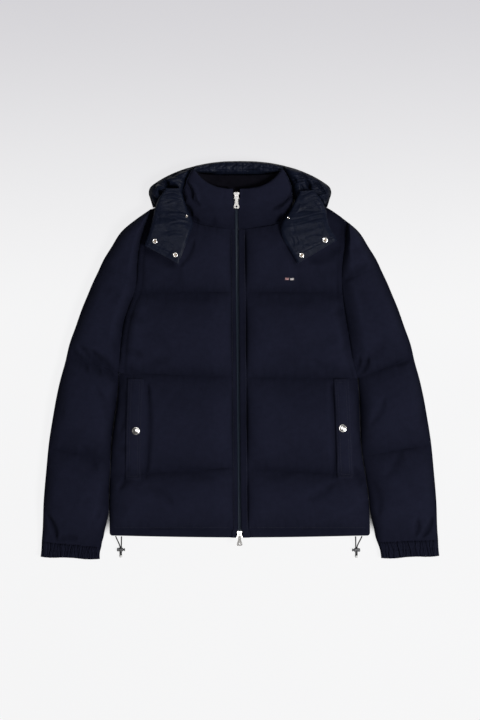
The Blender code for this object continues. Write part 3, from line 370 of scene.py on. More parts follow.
def mesh_of(points, faces):
    """A bmesh of these points and faces."""
    data = bpy.data.meshes.new("faces")
    data.from_pydata(points.tolist(), [], faces)
    mesh = bmesh.new()
    mesh.from_mesh(data)
    bpy.data.meshes.remove(data)
    return mesh


def wall(name, outer, inner, quads, cloth):
    """A closed cloth wall: matching outer and inner points, with a rim along every free edge."""
    count = len(outer)
    edges = np.concatenate([quads[:, [k, (k + 1) % 4]] for k in range(4)])
    codes = edges[:, 0] * count + edges[:, 1]
    free = edges[~np.isin(edges[:, 1] * count + edges[:, 0], codes)]
    rim = np.stack([free[:, 1], free[:, 0], free[:, 0] + count, free[:, 1] + count], axis=1)
    faces = np.concatenate([quads, quads[:, ::-1] + count, rim])
    return finish(mesh_of(np.concatenate([outer, inner]), faces.tolist()), name, *cloth)


def layer(name, x, y, outer, inner, cloth):
    """A closed cloth wall between two heights over the same grid of places."""
    return wall(name, stack(x, y, outer), stack(x, y, inner), quads_of(numbered(*outer.shape)), cloth)


def bead(mesh, rings):
    """Adds a closed bead through rings of points to a bmesh."""
    rings = [[mesh.verts.new(point) for point in ring] for ring in rings]
    for low, high in zip(rings, rings[1:]):
        for k in range(len(low)):
            nxt = (k + 1) % len(low)
            mesh.faces.new([low[k], low[nxt], high[nxt], high[k]])
    mesh.faces.new(rings[0][::-1])
    mesh.faces.new(rings[-1])


def stack(x, y, z):
    return np.stack([np.broadcast_to(x, z.shape).ravel(), np.broadcast_to(y, z.shape).ravel(), z.ravel()], axis=1)


def tree_of(thing):
    """A search tree of an object's faces, in millimetres."""
    points = [v.co / MM for v in thing.data.vertices]
    return BVHTree.FromPolygons(points, [list(p.vertices) for p in thing.data.polygons])


def top_of(objects):
    """A function giving the height of the highest of these objects at a place, or None beside them."""
    trees = [tree_of(each) for each in objects]

    def height(x, y):
        found = [tree.ray_cast(Vector((x, y, RAY_HIGH)), Vector((0, 0, -1)))[0] for tree in trees]
        return max((hit.z for hit in found if hit), default=None)

    return height


# ---------------------------------------------------------------- materials

def nodes_of(name):
    """A new material, its node tree, its shader and the object's own coordinates."""
    made = bpy.data.materials.new(name)
    made.use_nodes = True
    tree = made.node_tree
    return made, tree, tree.nodes["Principled BSDF"], add(tree, "TexCoord").outputs["Object"]


def add(tree, kind, **values):
    """A shader node with these socket values and settings."""
    node = tree.nodes.new("ShaderNode" + kind)
    for key, value in values.items():
        if key in node.inputs:
            node.inputs[key].default_value = value
        else:
            setattr(node, key, value)
    return node


def texture(tree, place, kind, result="Fac", **values):
    """What a procedural texture gives at these coordinates."""
    node = add(tree, "Tex" + kind, **values)
    tree.links.new(place, node.inputs["Vector"])
    return node.outputs[result]


def ramp(tree, source, low, high, at=(0.3, 0.7)):
    """A colour that runs from low to high between two levels of the source."""
    node = add(tree, "ValToRGB")
    for element, place, colour in zip(node.color_ramp.elements, at, (low, high)):
        element.position = place
        element.color = (*colour, 1)
    tree.links.new(source, node.inputs["Fac"])
    return node.outputs["Color"]


def weigh(tree, source, weight, other):
    """The source times a weight, plus the other."""
    node = add(tree, "Math", operation="MULTIPLY_ADD")
    tree.links.new(source, node.inputs[0])
    node.inputs[1].default_value = weight
    tree.links.new(other, node.inputs[2])
    return node.outputs[0]


def map_range(tree, source, between, top, **values):
    """0 to top, while the source goes between two levels."""
    node = add(tree, "MapRange", **values)
    for key, value in zip(("From Min", "From Max", "To Min", "To Max"), (*between, 0.0, top)):
        node.inputs[key].default_value = value
    tree.links.new(source, node.inputs["Value"])
    return node.outputs["Result"]


def emboss(tree, shader, height, strength, distance):
    """Raises a height as a bump, with its distance in metres."""
    bump = add(tree, "Bump", Strength=strength, Distance=distance)
    tree.links.new(height, bump.inputs["Height"])
    tree.links.new(bump.outputs["Normal"], shader.inputs["Normal"])


def constants(shader, values):
    """Sets what is the same all over a surface on the shader's own sockets."""
    for key, value in values.items():
        shader.inputs[key].default_value = value


def paint_shade_in_hollows(tree, colour, shader, shine, darkest_shade):
    """Paints shade into a colour where the cloth sinks into seams and creases, with a slight painted highlight on
    crests, and dims its gloss there.
    """
    depth = add(tree, "Attribute", attribute_name="painted_shade_depth").outputs["Fac"]
    dim = add(tree, "MixRGB", blend_type="MULTIPLY", Fac=1.0)
    tree.links.new(colour, dim.inputs["Color1"])
    # painted shade: the deeper the cloth lies below its surroundings, the darker its colour
    tree.links.new(ramp(tree, depth, (1.06,) * 3, (darkest_shade,) * 3, (0.1, 1.0)), dim.inputs["Color2"])
    tree.links.new(dim.outputs["Color"], shader.inputs["Base Color"])
    gloss = add(tree, "Math", operation="MULTIPLY")
    gloss.inputs[1].default_value = shine
    tree.links.new(ramp(tree, depth, (1, 1, 1), (0, 0, 0), (0.3, 0.9)), gloss.inputs[0])
    tree.links.new(gloss.outputs[0], shader.inputs["Specular IOR Level"])


def wool():
    """Brushed navy wool: mottled fibres, a faint twill under the nap."""
    made, tree, shader, place = nodes_of("navy_wool_brushed")
    mottle = texture(tree, place, "Noise", Scale=90.0, Detail=8.0, Roughness=0.75)
    fibre = texture(tree, place, "Noise", Scale=900.0, Detail=4.0, Roughness=0.7)
    twill = texture(tree, place, "Wave", Scale=260.0, Distortion=3.0, Detail=2.0, bands_direction="DIAGONAL")
    both = weigh(tree, fibre, 0.5, mottle)
    colour = ramp(tree, both, (0.0084, 0.0092, 0.0194), (0.0122, 0.0134, 0.0280), (0.45, 1.0))
    # painted shade in the seams and creases of the wool
    paint_shade_in_hollows(tree, colour, shader, 0.05, 0.25)
    emboss(tree, shader, weigh(tree, twill, 0.25, both), 0.35, 0.0006)
    constants(shader, {"Roughness": 0.95, "Sheen Weight": 0.03, "Sheen Roughness": 0.5,
                       "Sheen Tint": (0.35, 0.42, 0.62, 1)})
    return made


def crinkled(name, crinkle, weave, weight, strength, distance, low, high):
    """A material of thin plain-woven cloth with soft crinkles, and its colour."""
    made, tree, shader, place = nodes_of(name)
    swell = texture(tree, place, "Noise", **crinkle)
    fine = texture(tree, place, "Noise", Scale=weave, Detail=2.0)
    emboss(tree, shader, weigh(tree, fine, weight, swell), strength, distance)
    return made, tree, shader, ramp(tree, swell, low, high)


def nylon():
    """Thin satin nylon: a tight plain weave, fine crinkles, soft gloss."""
    made, tree, shader, colour = crinkled(
        "navy_nylon_satin", {"Scale": 120.0, "Detail": 6.0, "Roughness": 0.55, "Distortion": 0.6},
        1500.0, 0.12, 0.5, 0.0008, (0.0058, 0.0080, 0.0178), (0.0092, 0.0120, 0.0250))
    # painted shade in the seams and creases of the nylon
    paint_shade_in_hollows(tree, colour, shader, 0.07, 0.2)
    constants(shader, {"Roughness": 0.42, "Sheen Weight": 0.01, "Sheen Tint": (0.5, 0.6, 0.8, 1)})
    return made


def lining():
    """Thin dark lining: a fine even weave with soft crinkles."""
    made, tree, shader, colour = crinkled(
        "dark_lining", {"Scale": 70.0, "Detail": 5.0},
        1400.0, 0.15, 0.4, 0.0006, (0.0028, 0.0026, 0.0048), (0.0044, 0.0041, 0.0072))
    tree.links.new(colour, shader.inputs["Base Color"])
    constants(shader, {"Roughness": 0.75, "Specular IOR Level": 0.03})
    return made


def metal(name, colour, roughness):
    """Polished plated metal with faint wear in its gloss."""
    made, tree, shader, place = nodes_of(name)
    wear = texture(tree, place, "Noise", Scale=700.0, Detail=5.0)
    low, high = [(r,) * 3 for r in (roughness * 0.8, roughness * 1.35)]
    tree.links.new(ramp(tree, wear, low, high), shader.inputs["Roughness"])
    constants(shader, {"Base Color": (*colour, 1), "Metallic": 1.0})
    return made


def woven(name, dark, light, scale, roughness):
    """A plain woven or braided yarn surface in two close shades."""
    made, tree, shader, place = nodes_of(name)
    braid = texture(tree, place, "Voronoi", "Distance", Scale=scale)
    tree.links.new(ramp(tree, braid, dark, light, (0.1, 0.8)), shader.inputs["Base Color"])
    emboss(tree, shader, braid, 0.5, 0.0003)
    constants(shader, {"Roughness": roughness})
    return made


def plastic(name, colour, roughness):
    """Moulded plastic with a slight orange peel."""
    made, tree, shader, place = nodes_of(name)
    peel = texture(tree, place, "Noise", Scale=1200.0, Detail=3.0)
    emboss(tree, shader, peel, 0.15, 0.0002)
    low, high = [tuple(c * f for c in colour) for f in (0.88, 1.0)]
    tree.links.new(ramp(tree, peel, low, high), shader.inputs["Base Color"])
    constants(shader, {"Roughness": roughness})
    return made


STEEL = metal("polished_hardware", (0.78, 0.76, 0.74), 0.2)
BARREL = metal("toggle_barrel_satin", (0.30, 0.30, 0.31), 0.35)
COIL = plastic("zip_coil", (0.022, 0.032, 0.050), 0.45)
DARK = plastic("toggle_button_dark", (0.03, 0.03, 0.034), 0.4)
PALE = plastic("cord_end_pale", (0.72, 0.72, 0.70), 0.3)
TAN = plastic("snap_pip_tan", (0.36, 0.25, 0.16), 0.4)
TAPE = woven("zip_tape_weave", (0.012, 0.016, 0.026), (0.024, 0.031, 0.046), 900.0, 0.75)
CORD = woven("cord_braid", (0.002, 0.002, 0.003), (0.008, 0.008, 0.009), 1600.0, 0.95)
THREAD = woven("navy_thread", (0.007, 0.008, 0.017), (0.017, 0.019, 0.034), 2600.0, 0.6)
ROSE = woven("rose_thread", (0.45, 0.24, 0.25), (0.72, 0.45, 0.45), 2600.0, 0.55)
PALE_THREAD = woven("pale_thread", (0.6, 0.55, 0.55), (0.85, 0.8, 0.8), 2600.0, 0.55)
LINING = lining()
WOOL = (wool(), "navy_wool")        # a material and a slot name
NYLON = (nylon(), "navy_nylon")


# ---------------------------------------------------------------- fronts

def front_rows(side):
    """Rows of a front, shoulder to hem: edge x and y, height at the zip, s, baffle, weight of the top line."""
    hole_y = ARMHOLE[side + "_y"]
    rows = []
    for baffle, first, last, at_from, at_to, count in (
        (0, 0, ARM_CHEST, NECK_Y, CHEST_Y, 60), (1, ARM_CHEST, ARM_UNDER, CHEST_Y, WAIST_Y, 60),
    ):
        station = mix(first, last, graded(count))[(baffle > 0):]
        x, y = by_row(station, ARMHOLE, (side + "_x", side + "_y"))
        v = (hole_y[first] - y) / (hole_y[first] - hole_y[last])
        top = (1 - v) ** 1.3 if baffle == 0 else 0 * v
        rows.append(np.stack([x, y, mix(at_from, at_to, v), v, baffle + 0 * v, top]))
    under = hole_y[ARM_UNDER]
    for baffle, side_from, side_to, zip_from, zip_to, steps in (
        (2, under, LOW_SIDE_Y, WAIST_Y, LOW_Y, graded(62)[1:]),
        (3, LOW_SIDE_Y, HEM_STITCH_Y, LOW_Y, HEM_STITCH_Y, graded(44)[1:]),
        (4, HEM_STITCH_Y, HEM_SIDE_Y, HEM_STITCH_Y, HEM_Y, np.linspace(0.08, 1, 12)),
    ):
        y = mix(side_from, side_to, steps)
        x = side_edge(side, y)
        rows.append(np.stack([x, y, mix(zip_from, zip_to, steps), steps, baffle + 0 * y, 0 * y]))
    return np.concatenate(rows, axis=1)


FRONT_CREASES = {
    "right": [
        (-195, -262, -140, -300, 10, -3.2), (-236, -226, -252, -268, 8, -4.5), (-213, -20, -150, 4, 12, -2.6),
        (-130, 130, -60, 128, 12, -2.0), (-212, 62, -150, 26, 18, -2.6), (-60, -60, -150, -90, 30, -2.2),
        (-244, -60, -249, -150, 9, -2.6), (-120, -232, -60, -245, 12, -2.2), (-186, 176, -150, 214, 18, -2.4),
        (-238, 98, -204, 80, 9, -3.0), (-247, 22, -206, 8, 9, -3.0), (-251, -16, -214, -30, 9, -2.6),
        (-262, -180, -236, -192, 10, -3.0), (-270, -300, -238, -320, 12, -2.6), (-193, -48, -197, -246, 7, -5.0),
        (-214, 140, -180, 134, 9, -2.4), (-206, 234, -138, 196, 13, -7.0), (-96, 250, -126, 196, 6, -4.0),
        (-110, -20, -50, -44, 20, -1.8), (-90, 210, -50, 160, 26, -1.8),
    ],
    "left": [
        (195, -256, 138, -290, 10, -3.2), (236, -222, 252, -262, 8, -4.5), (205, -22, 150, 2, 12, -2.6),
        (150, 128, 70, 128, 12, -2.0), (208, 60, 140, 30, 18, -2.4), (70, -56, 150, -92, 30, -2.2),
        (241, -50, 250, -150, 9, -2.6), (110, -228, 50, -243, 12, -2.2), (192, 172, 150, 212, 18, -2.4),
        (218, 112, 190, 96, 9, -2.8), (228, 38, 196, 22, 9, -2.8), (240, -16, 208, -28, 9, -2.6),
        (250, -170, 238, -184, 10, -2.6), (268, -296, 236, -318, 12, -2.8), (189, -48, 195, -242, 7, -4.6),
        (212, 140, 176, 134, 9, -2.4), (88, 240, 114, 198, 8, -5.0), (207, 236, 146, 206, 13, -6.0),
        (60, 20, 118, -16, 22, -1.8), (84, 214, 52, 166, 26, -1.8),
    ],
}


def make_front(side, sign):
    edge_x, edge_y, at_zip, s, baffle, top = [row[:, None] for row in front_rows(side)]
    stitch = PLACKET_STITCH[side] - PLACKET_EDGE
    zip_edge = sign * zip_x(at_zip) + PLACKET_EDGE + spread(at_zip)
    near, far = edge_x - SIDE_STRIP, zip_edge + ZIP_REACH
    x = np.concatenate([
        edge_x - SIDE_STRIP * graded(14, 0.3)[None], mix(near, far, np.linspace(0, 1, 62)[None, 1:]),
        zip_edge + np.concatenate([np.linspace(34, stitch + 2, 9), stitch + np.array([1, 0.3, -0.4, -1.2]),
                                   np.linspace(stitch - 2.5, 0, 7)])[None],
    ], axis=1)
    share = (edge_x - x) / (edge_x - zip_edge)
    y = mix(edge_y, at_zip, share)
    neck_x = SHOULDER[side]["x"][0]
    first_x = mix(edge_x[0], PLACKET_EDGE + sign * ZIP_NECK_X, share)
    neck = np.interp(first_x - sign * COLLAR_X, FRONT_NECK["x"], FRONT_NECK["y"])
    shoulder = smooth(first_x, SHOULDER[side]["x"], SHOULDER[side]["y"])
    y = y + top * (np.where(first_x >= neck_x, shoulder, neck) - mix(edge_y[0], NECK_Y, share))
    from_zip, from_side = x - zip_edge, edge_x - x

    at_arm = edge_y > ARMHOLE[side + "_y"][ARM_UNDER] - 1
    rim = np.where(at_arm, ARMHOLE_SEAM, RIM)
    roll = np.where(at_arm, mix(SIDE_ROUND, 64, ease((edge_y - 150) / 60)), SIDE_ROLL)
    near_side = mix(rise(from_side, roll), ease(1.1 * from_side / roll), 0.55 * at_arm)
    across = near_side * rise(from_zip - stitch, 44)
    seam = np.where(at_arm, FRONT_SEAM, FRONT_SEAM * rise(from_side + 1, SIDE_ROLL))
    at_neck = ease((neck_x + 8 - x) / 16)
    high = mix(rise(s, 0.28) * puff(mix(0.3, 1, s)), puff(mix(0.06, 1, s)), at_neck)
    start = mix(RIM + 1, NECK_SEAM, at_neck)
    fullness = np.where(baffle == 0, high, puff(s))
    base = np.where(baffle == 0, mix(start, seam, np.minimum(3 * s, 1)), seam)
    crown = FRONT_CROWN * np.where(baffle == 3, 0.82, 1.0)
    base = mix(np.minimum(rim, base), base, rise(from_side, 12))
    soft = (crown - FRONT_SEAM) * fullness * across
    thick = base + soft
    hem = mix(RIM, np.maximum(rim, seam * 0.95), rise(1 - s, 0.6))
    thick = np.where(baffle == 4, hem, thick)

    # puckers that run into each quilting seam, and slow unevenness of the down
    to_seam = np.minimum(s, 1 - s) * np.where(baffle == 3, LOW_BAFFLE, BAFFLE)
    pucker = puckered(to_seam, 11) * ripple(x / 13 + 0.004 * y, sign + baffle[:, :1])
    loose = rise(soft, 8)
    thick = thick + np.where(baffle < 4, 1.5 * pucker * loose, 0.5 * ripple(x / 6, sign) * (s < 0.9))
    thick += (2.4 * patches(x, y, 66, sign) + 0.8 * patches(x, y, 23, sign + 2)) * loose
    thick += creases(sign * x, y, FRONT_CREASES[side]) * loose
    thick -= 1.0 * groove(from_zip - stitch, 1.5)
    thick -= 1.5 * groove(from_side - 11, 2.6) * at_arm

    lift = mix(PLACKET_IN, FRONT_IN, ease((from_zip - stitch + 0.5) / 4))
    facing = mix(3.0, PLACKET_THICK, rise(from_zip + 0.6, 4.0)) + PLACKET_IN - FRONT_IN
    facing += 0.25 * ripple(y / 15, sign) * rise(from_zip, 4)
    blend = ease((from_zip - stitch + 1.6) / 2.2)
    z = FRONT_IN + np.maximum(mix(facing, thick, blend), lift - FRONT_IN + RIM - 0.6)
    return layer("front_cloth_" + side, sign * x, y, z, lift + 0 * z, WOOL)


# ---------------------------------------------------------------- back

def make_back():
    wide = BACK_LINE["x"][-1] - BACK_LINE["x"][0]
    shares = np.unique(np.concatenate([
        (BACK_LINE["x"] - BACK_LINE["x"][0]) / wide, np.linspace(0, 1, 61), graded(9) * 0.05, 1 - graded(9) * 0.05]))
    line_y = np.interp(shares, (BACK_LINE["x"] - BACK_LINE["x"][0]) / wide, BACK_LINE["y"])
    edges = {}
    stations = np.linspace(0, ARM_UNDER, 50)
    lower = np.concatenate([np.linspace(-50, -350, 40), np.linspace(-354, HEM_SIDE_Y, 12)])
    for side, _ in SIDES:
        x, y = by_row(stations, ARMHOLE, (side + "_x", side + "_y"))
        edges[side] = (np.append(x, side_edge(side, lower)), np.append(y, lower))
    r_x, r_y = [c[:, None] for c in edges["right"]]
    l_x, l_y = [c[:, None] for c in edges["left"]]
    at_arm = (np.arange(len(r_x)) < len(stations))[:, None]
    chest_y = ARMHOLE["right_y"][ARM_CHEST]
    weight = np.maximum(0, (r_y - chest_y) / (r_y[0] - chest_y)) ** 1.3
    x = mix(-r_x, l_x, shares[None])
    y = mix(r_y, l_y, shares[None]) + weight * (line_y - mix(r_y[0], l_y[0], shares))[None]
    y[-1] -= (HEM_SIDE_Y - HEM_Y) * np.sin(np.pi * shares)
    inside = np.minimum(shares, 1 - shares)[None] * (r_x + l_x)
    lift = np.where(at_arm, 8.0, 17.0) * (1 - rise(inside, np.where(at_arm, 12.0, SIDE_ROUND)))
    lift = np.maximum(lift, 14 * (1 - rise(y - HEM_Y, HEM_ROUND)))
    lift[0] = np.maximum(lift[0], 4.0)
    # shallow channels where the back's quilting seams press against the surface
    for level in (CHEST_Y, WAIST_Y, LOW_Y):
        lift += 1.2 * groove(y - level, 2.5)
    return layer("back_cloth", x, y, lift, BACK_TOP + 0 * lift, WOOL)


# ---------------------------------------------------------------- sleeves and cuffs

SLEEVE_CREASES = {
    "right": [
        (-354, 22, -318, -22, 8, -4.0), (-336, 30, -290, -30, 8, -4.5), (-312, 22, -258, -46, 9, -7.5),
        (-256, -36, -262, -96, 8, -6.5), (-404, -320, -384, -378, 6, -8.0), (-322, 34, -276, -20, 8, 2.5),
        (-384, -378, -340, -372, 7, -4.5),
        (-390, -60, -372, -120, 12, -3.2), (-300, -60, -275, -120, 9, -3.6), (-290, 60, -262, 20, 14, -3.6),
        (-330, -180, -300, -230, 12, -3.2), (-280, -260, -300, -330, 10, -4), (-250, 120, -285, 160, 16, -3.2),
    ],
    "left": [
        (356, 4, 318, -6, 7, -5.0), (250, 6, 236, -30, 6, -6.0), (268, 6, 246, -34, 6, -6.5),
        (402, -328, 381, -370, 6, -8.0), (370, -330, 366, -368, 6, -5.5), (392, -80, 376, -130, 12, -4.2),
        (300, -80, 274, -130, 9, -3.6), (300, 40, 262, 0, 14, -3.2), (335, -190, 305, -240, 12, -3.2),
        (276, -250, 290, -320, 10, -4.4), (222, 168, 260, 200, 12, -4), (262, 250, 228, 230, 12, -3.6),
    ],
}


def sleeve_rows(side):
    """Sections of a sleeve, shoulder to cuff: outer and inner points, s, softness of the seam, open, way down."""
    seams, rows = SLEEVE_ROWS[side], []
    for first, last, y_from, y_to, s_from, count in (
        (0, ARM_QUILT, SLEEVE_TIP_Y[side], SLEEVE_QUILT_Y, 0.25, 46),
        (ARM_QUILT, ARM_UNDER, SLEEVE_QUILT_Y, seams["outer"][0], 0.0, 56),
    ):
        t = graded(count)[(first > 0):]
        station = mix(first, last, t)
        x, y = by_row(station, ARMHOLE, (side + "_x", side + "_y"))
        outer_y = mix(y_from, y_to, t)
        soft = 0.6 * groove(station - ARM_QUILT, 1.6)
        is_open = station < ARM_UNDER
        rows.append(np.stack([at_height(outer_y, SLEEVE_OUTER, "x"), outer_y,
                              x + np.where(is_open, 0.5, 1.0), y, mix(s_from, 1, t), soft, is_open, 0 * t]))
    for part in (0, 1):
        t = graded(60)[1:]
        outer_y, inner_y = [mix(seams[k][part], seams[k][part + 1], t) for k in ("outer", "inner")]
        rows.append(np.stack([at_height(outer_y, SLEEVE_OUTER, "x"), outer_y,
                              at_height(inner_y, SLEEVE_INNER, side) + swing(side, inner_y), inner_y,
                              t, 0 * t, 0 * t, part + t]))
    return np.concatenate(rows, axis=1)


def tube_wall(rows, shares, face, thick, mid, fold_in):
    """Outer and inner points across one wall of a flattened sleeve."""
    ox, oy, ix, iy, _, _, is_open, _ = rows
    width = np.hypot(ox - ix, oy - iy)
    share = shares[None]
    x, y = mix(ox, ix, share), mix(oy, iy, share)
    from_inner = np.where(is_open > 0, 1e3, (1 - share) * width)
    profile = np.minimum(rise(share * width, np.minimum(fold_in, 26)), rise(from_inner, fold_in))
    z = mid + face * thick(x, y, share, profile)
    start = np.minimum(7.0, width * 0.3) / width
    inward = mix(start, np.where(is_open > 0, 1.0, 1 - start), share)
    at_fold = (share == 0) | ((share == 1) & (is_open == 0))
    in_z = np.where(at_fold, mid, mid + face * SLIT / 2) + 0 * z
    return np.stack([x, y, z], axis=2), np.stack([mix(ox, ix, inward), mix(oy, iy, inward), in_z], axis=2)


def tube(name, is_open, top, low, sign):
    """Joins a sleeve's two walls into one closed wall."""
    top_index = numbered(*top[0].shape[:2])
    low_index = numbered(*low[0].shape[:2]) + top_index.size
    low_index[:, 0] = top_index[:, 0]
    shut = ~is_open
    low_index[shut, -1] = top_index[shut, -1]
    quads = np.concatenate([quads_of(top_index), quads_of(low_index)[:, ::-1]])
    used, renamed = np.unique(quads, return_inverse=True)
    points = [np.concatenate([t.reshape(-1, 3), l.reshape(-1, 3)])[used] * (sign, 1, 1) for t, l in zip(top, low)]
    return wall(name, *points, renamed.reshape(quads.shape), WOOL)


def make_sleeve(side, sign):
    rows = [row[:, None] for row in sleeve_rows(side)]
    s, soft, is_open, down = rows[4:]
    tail = ease((down - 1.55) / 0.45)
    mid = mix(SLEEVE_MID, CUFF_MID, tail)
    crown = mix(SLEEVE_CROWN, LOW_SLEEVE_CROWN, ease(down / 2))
    seam = mix(7.0, CUFF_WALL + SLIT / 2 + 2.0, tail)
    round_in = mix(26, 14, tail)
    if side == "left":
        round_in = round_in + 34 * groove(rows[3] + 235, 80)

    def top_height(x, y, share, profile):
        fullness = mix(puff(s), 1, soft)
        at_hole = mix(rise(1 - share, 0.3), ease((1 - share) / 0.28), 0.55)
        body = (crown - seam) * fullness * rise(share, 0.5) * np.where(is_open > 0, at_hole, rise(1 - share, 0.5))
        loose = rise(body, 8) * profile
        pucker = puckered(np.minimum(s, 1 - s) * BAFFLE, 12) * ripple(x / 14 + 0.01 * y, sign * 5)
        full = seam + body + 1.6 * pucker * loose * (1 - soft)
        full = full + (2.5 * patches(x, y, 54, sign * 3) + 0.9 * patches(x, y, 20, sign)) * loose
        full = full + creases(sign * x, y, SLEEVE_CREASES[side]) * loose
        full = np.where((is_open > 0) & (share > 0.995), ARMHOLE_SEAM - 0.6, full)
        return RIM / 2 + (full - RIM / 2) * profile

    def low_height(x, y, share, profile):
        edge = np.where((is_open > 0) & (share > 0.995), 8.0 + 0 * x, 0)
        return np.where(edge > 0, mid - edge, RIM / 2 + (mid - RIM / 2) * profile)

    top_shares = np.unique(np.concatenate([graded(9) * 0.08, np.linspace(0.08, 0.9, 40), 1 - graded(10) * 0.1]))
    low_shares = np.concatenate([graded(6) * 0.12, np.linspace(0.2, 0.8, 5), 1 - graded(6)[::-1] * 0.12])
    top = tube_wall(rows, top_shares, 1, top_height, mid, round_in)
    low = tube_wall(rows, low_shares, -1, low_height, mid, 22)
    return tube("sleeve_cloth_" + side, is_open[:, 0] > 0, top, low, sign)


def make_cuff(side, sign):
    """An elasticated cuff, gathered into narrow uneven ribs."""
    seams, ends = SLEEVE_ROWS[side], CUFF_END[side]
    down = graded(26, 0.3)[:, None]
    share = np.linspace(0, 1, 361)[None]
    outer_y, inner_y = [mix(seams[k][2] - 0.4, end, down) for k, end in zip(("outer", "inner"), ends)]
    outer_x = at_height(outer_y, SLEEVE_OUTER, "x") - 0.6 * np.sin(np.pi * down)
    inner_x = at_height(inner_y, SLEEVE_INNER, side) + 1.5 * np.sin(np.pi * down)
    width = outer_x - inner_x
    x, y = mix(outer_x, inner_x, share), mix(outer_y, inner_y, share)
    y = y - 1.0 * np.sin(10 * share) * ease((down - 0.8) / 0.2)
    profile = rise(np.minimum(share, 1 - share) * width, 11)
    wave = ripple(share * 17 + 0.22 * np.sin(down * 4 + share * 23), sign * 2)
    ribs = 1.9 * np.abs(wave) ** 0.85 * np.sign(wave) * mix(0.8, 1, down) - 1.2 * groove(down - 0.5, 0.05)
    ribs = ribs + 1.1 * ripple(share * 43 + down, sign) * mix(0.5, 1, down)
    ribs = ribs - 2.2 * groove(down, 0.07) - 0.9 * groove(down - 0.93, 0.03)
    top = mix(RIM / 2, CUFF_WALL + SLIT / 2 + ribs, profile)
    inward = mix(7 / width, 1 - 7 / width, share)
    in_x, in_y = mix(outer_x, inner_x, inward), mix(outer_y, inner_y, inward)
    inside = np.where((share == 0) | (share == 1), 0, SLIT / 2) + 0 * x
    lower = np.arange(0, share.shape[1], 12)
    tops = (np.stack([x, y, CUFF_MID + top], 2), np.stack([in_x, in_y, CUFF_MID + inside], 2))
    base = CUFF_MID - mix(RIM / 2, CUFF_MID, profile)
    lows = (np.stack([x, y, base], 2)[:, lower], np.stack([in_x, in_y, CUFF_MID - inside], 2)[:, lower])
    return tube("cuff_cloth_" + side, np.zeros(len(down), bool), tops, lows, sign)


# ---------------------------------------------------------------- collar and hood

def collar_point(station, up):
    """Points of the collar's neck-side face."""
    names = ("base_x", "base_y", "base_z", "top_x", "top_y", "top_z", "bulge")
    bx, by, bz, tx, ty, tz, bulge = by_row(station, COLLAR, names)
    line = np.interp(bx, FRONT_NECK["x"], FRONT_NECK["y"]) + 0.7
    by = np.where(station < 6, np.maximum(by, line), by)
    lean = np.where(station < 6, up**1.25, ease(up) * 0.6 + up * 0.4)
    x = mix(bx, tx, up) + bulge * np.sin(np.pi * up)
    return np.stack([x, mix(by, ty, up), mix(bz, tz, lean)], axis=-1)


COLLAR_CREASES = [
    (-111.3, 371.3, -98.7, 336.6, 4.5, -4.2), (-98.7, 336.6, -84, 324, 4, -2.6),
    (-102.9, 374.4, -86.1, 330.3, 4.5, 2), (-121.8, 355.5, -113.4, 328.2, 4.5, -4),
    (-113.4, 328.2, -98.7, 300.9, 4, -4), (-98.7, 300.9, -86.1, 289.4, 4, -2.5),
    (113.4, 363.9, 98.7, 338.7, 4.5, -4.4), (98.7, 338.7, 65.1, 316.3, 4, -3.4),
    (121.8, 345, 113.4, 324, 4, -3.6), (113.4, 324, 92.4, 305.6, 4, -3.6),
    (84, 307.2, 74.5, 288.3, 5, -3), (105, 345, 84, 319.8, 4.5, 2),
    (-56.7, 277.8, -54.6, 298.8, 9, -1.5), (-35.7, 336.6, -29.4, 349.2, 6, -1),
]


def make_collar():
    half = np.concatenate([np.linspace(0, 1, 12), np.linspace(1, 10, 100)[1:]])
    up = graded(36, 0.4)[:, None]
    sides, inners = [], []
    for sign in (-1, 1):
        station = (half if sign < 0 else half[-2::-1])[None]
        point = collar_point(station + 0 * up, up + 0 * station)
        along = collar_point(np.minimum(station + 0.05, 10) + 0 * up, up + 0 * station) - collar_point(
            np.maximum(station - 0.05, 0) + 0 * up, up + 0 * station)
        rising = collar_point(station + 0 * up, np.minimum(up + 0.02, 1) + 0 * station) - collar_point(
            station + 0 * up, np.maximum(up - 0.02, 0) + 0 * station)
        normal = np.cross(along, rising)
        normal /= np.linalg.norm(normal, axis=2, keepdims=True)
        upright = (1 - ease(up / 0.2)) * (1 - ease((station - 3.5) / 1.5))
        normal = mix(normal, np.array([0, 0, 1.0]), upright[..., None])
        normal /= np.linalg.norm(normal, axis=2, keepdims=True)
        thick = mix(COLLAR_EDGE, COLLAR_THICK, ease((station - 0.3) / 2.2))
        thick = np.where(station > 5, mix(thick, 3.0, ease((station - 5.5) / 2)), thick)
        thick = thick * mix(0.62, 1, rise(1 - up, 0.12)) * mix(0.84, 1, rise(up + 0.01, 0.25))
        x, y = COLLAR_X + sign * point[..., 0], point[..., 1]
        loose = rise(station, 2.0) * rise(up, 0.1) * rise(1 - up, 0.1)
        wrinkle = 0.8 * patches(x, y, 22, 4.0) + 0.5 * ripple(y / 11 + 0.03 * x, 2.0)
        wrinkle = wrinkle + 1.7 * creases(x, y, COLLAR_CREASES)
        facing = ease((6.5 - station) / 1.0)
        thick = thick + wrinkle * loose * facing - 0.7 * groove(up - 0.05, 0.018) * facing
        part = 1 - ease((station - 0.6) / 1.2)
        shift = spread(y) * part
        centre = mix(COLLAR_X, zip_x(y), 1 - ease((station - 1) / 2))
        out = point + normal * thick[..., None]
        for each, target in ((out, sides), (point, inners)):
            target.append(np.stack([centre + sign * (each[..., 0] + shift), each[..., 1], each[..., 2]], 2))
    outer, inner = [np.concatenate(parts, axis=1) for parts in (sides, inners)]
    quads = quads_of(numbered(*outer.shape[:2]))
    made = wall("collar_cloth", outer.reshape(-1, 3), inner.reshape(-1, 3), quads, WOOL)
    return dress(made, LINING, np.repeat((0, 1), len(quads)))      # the neck side shows the lining


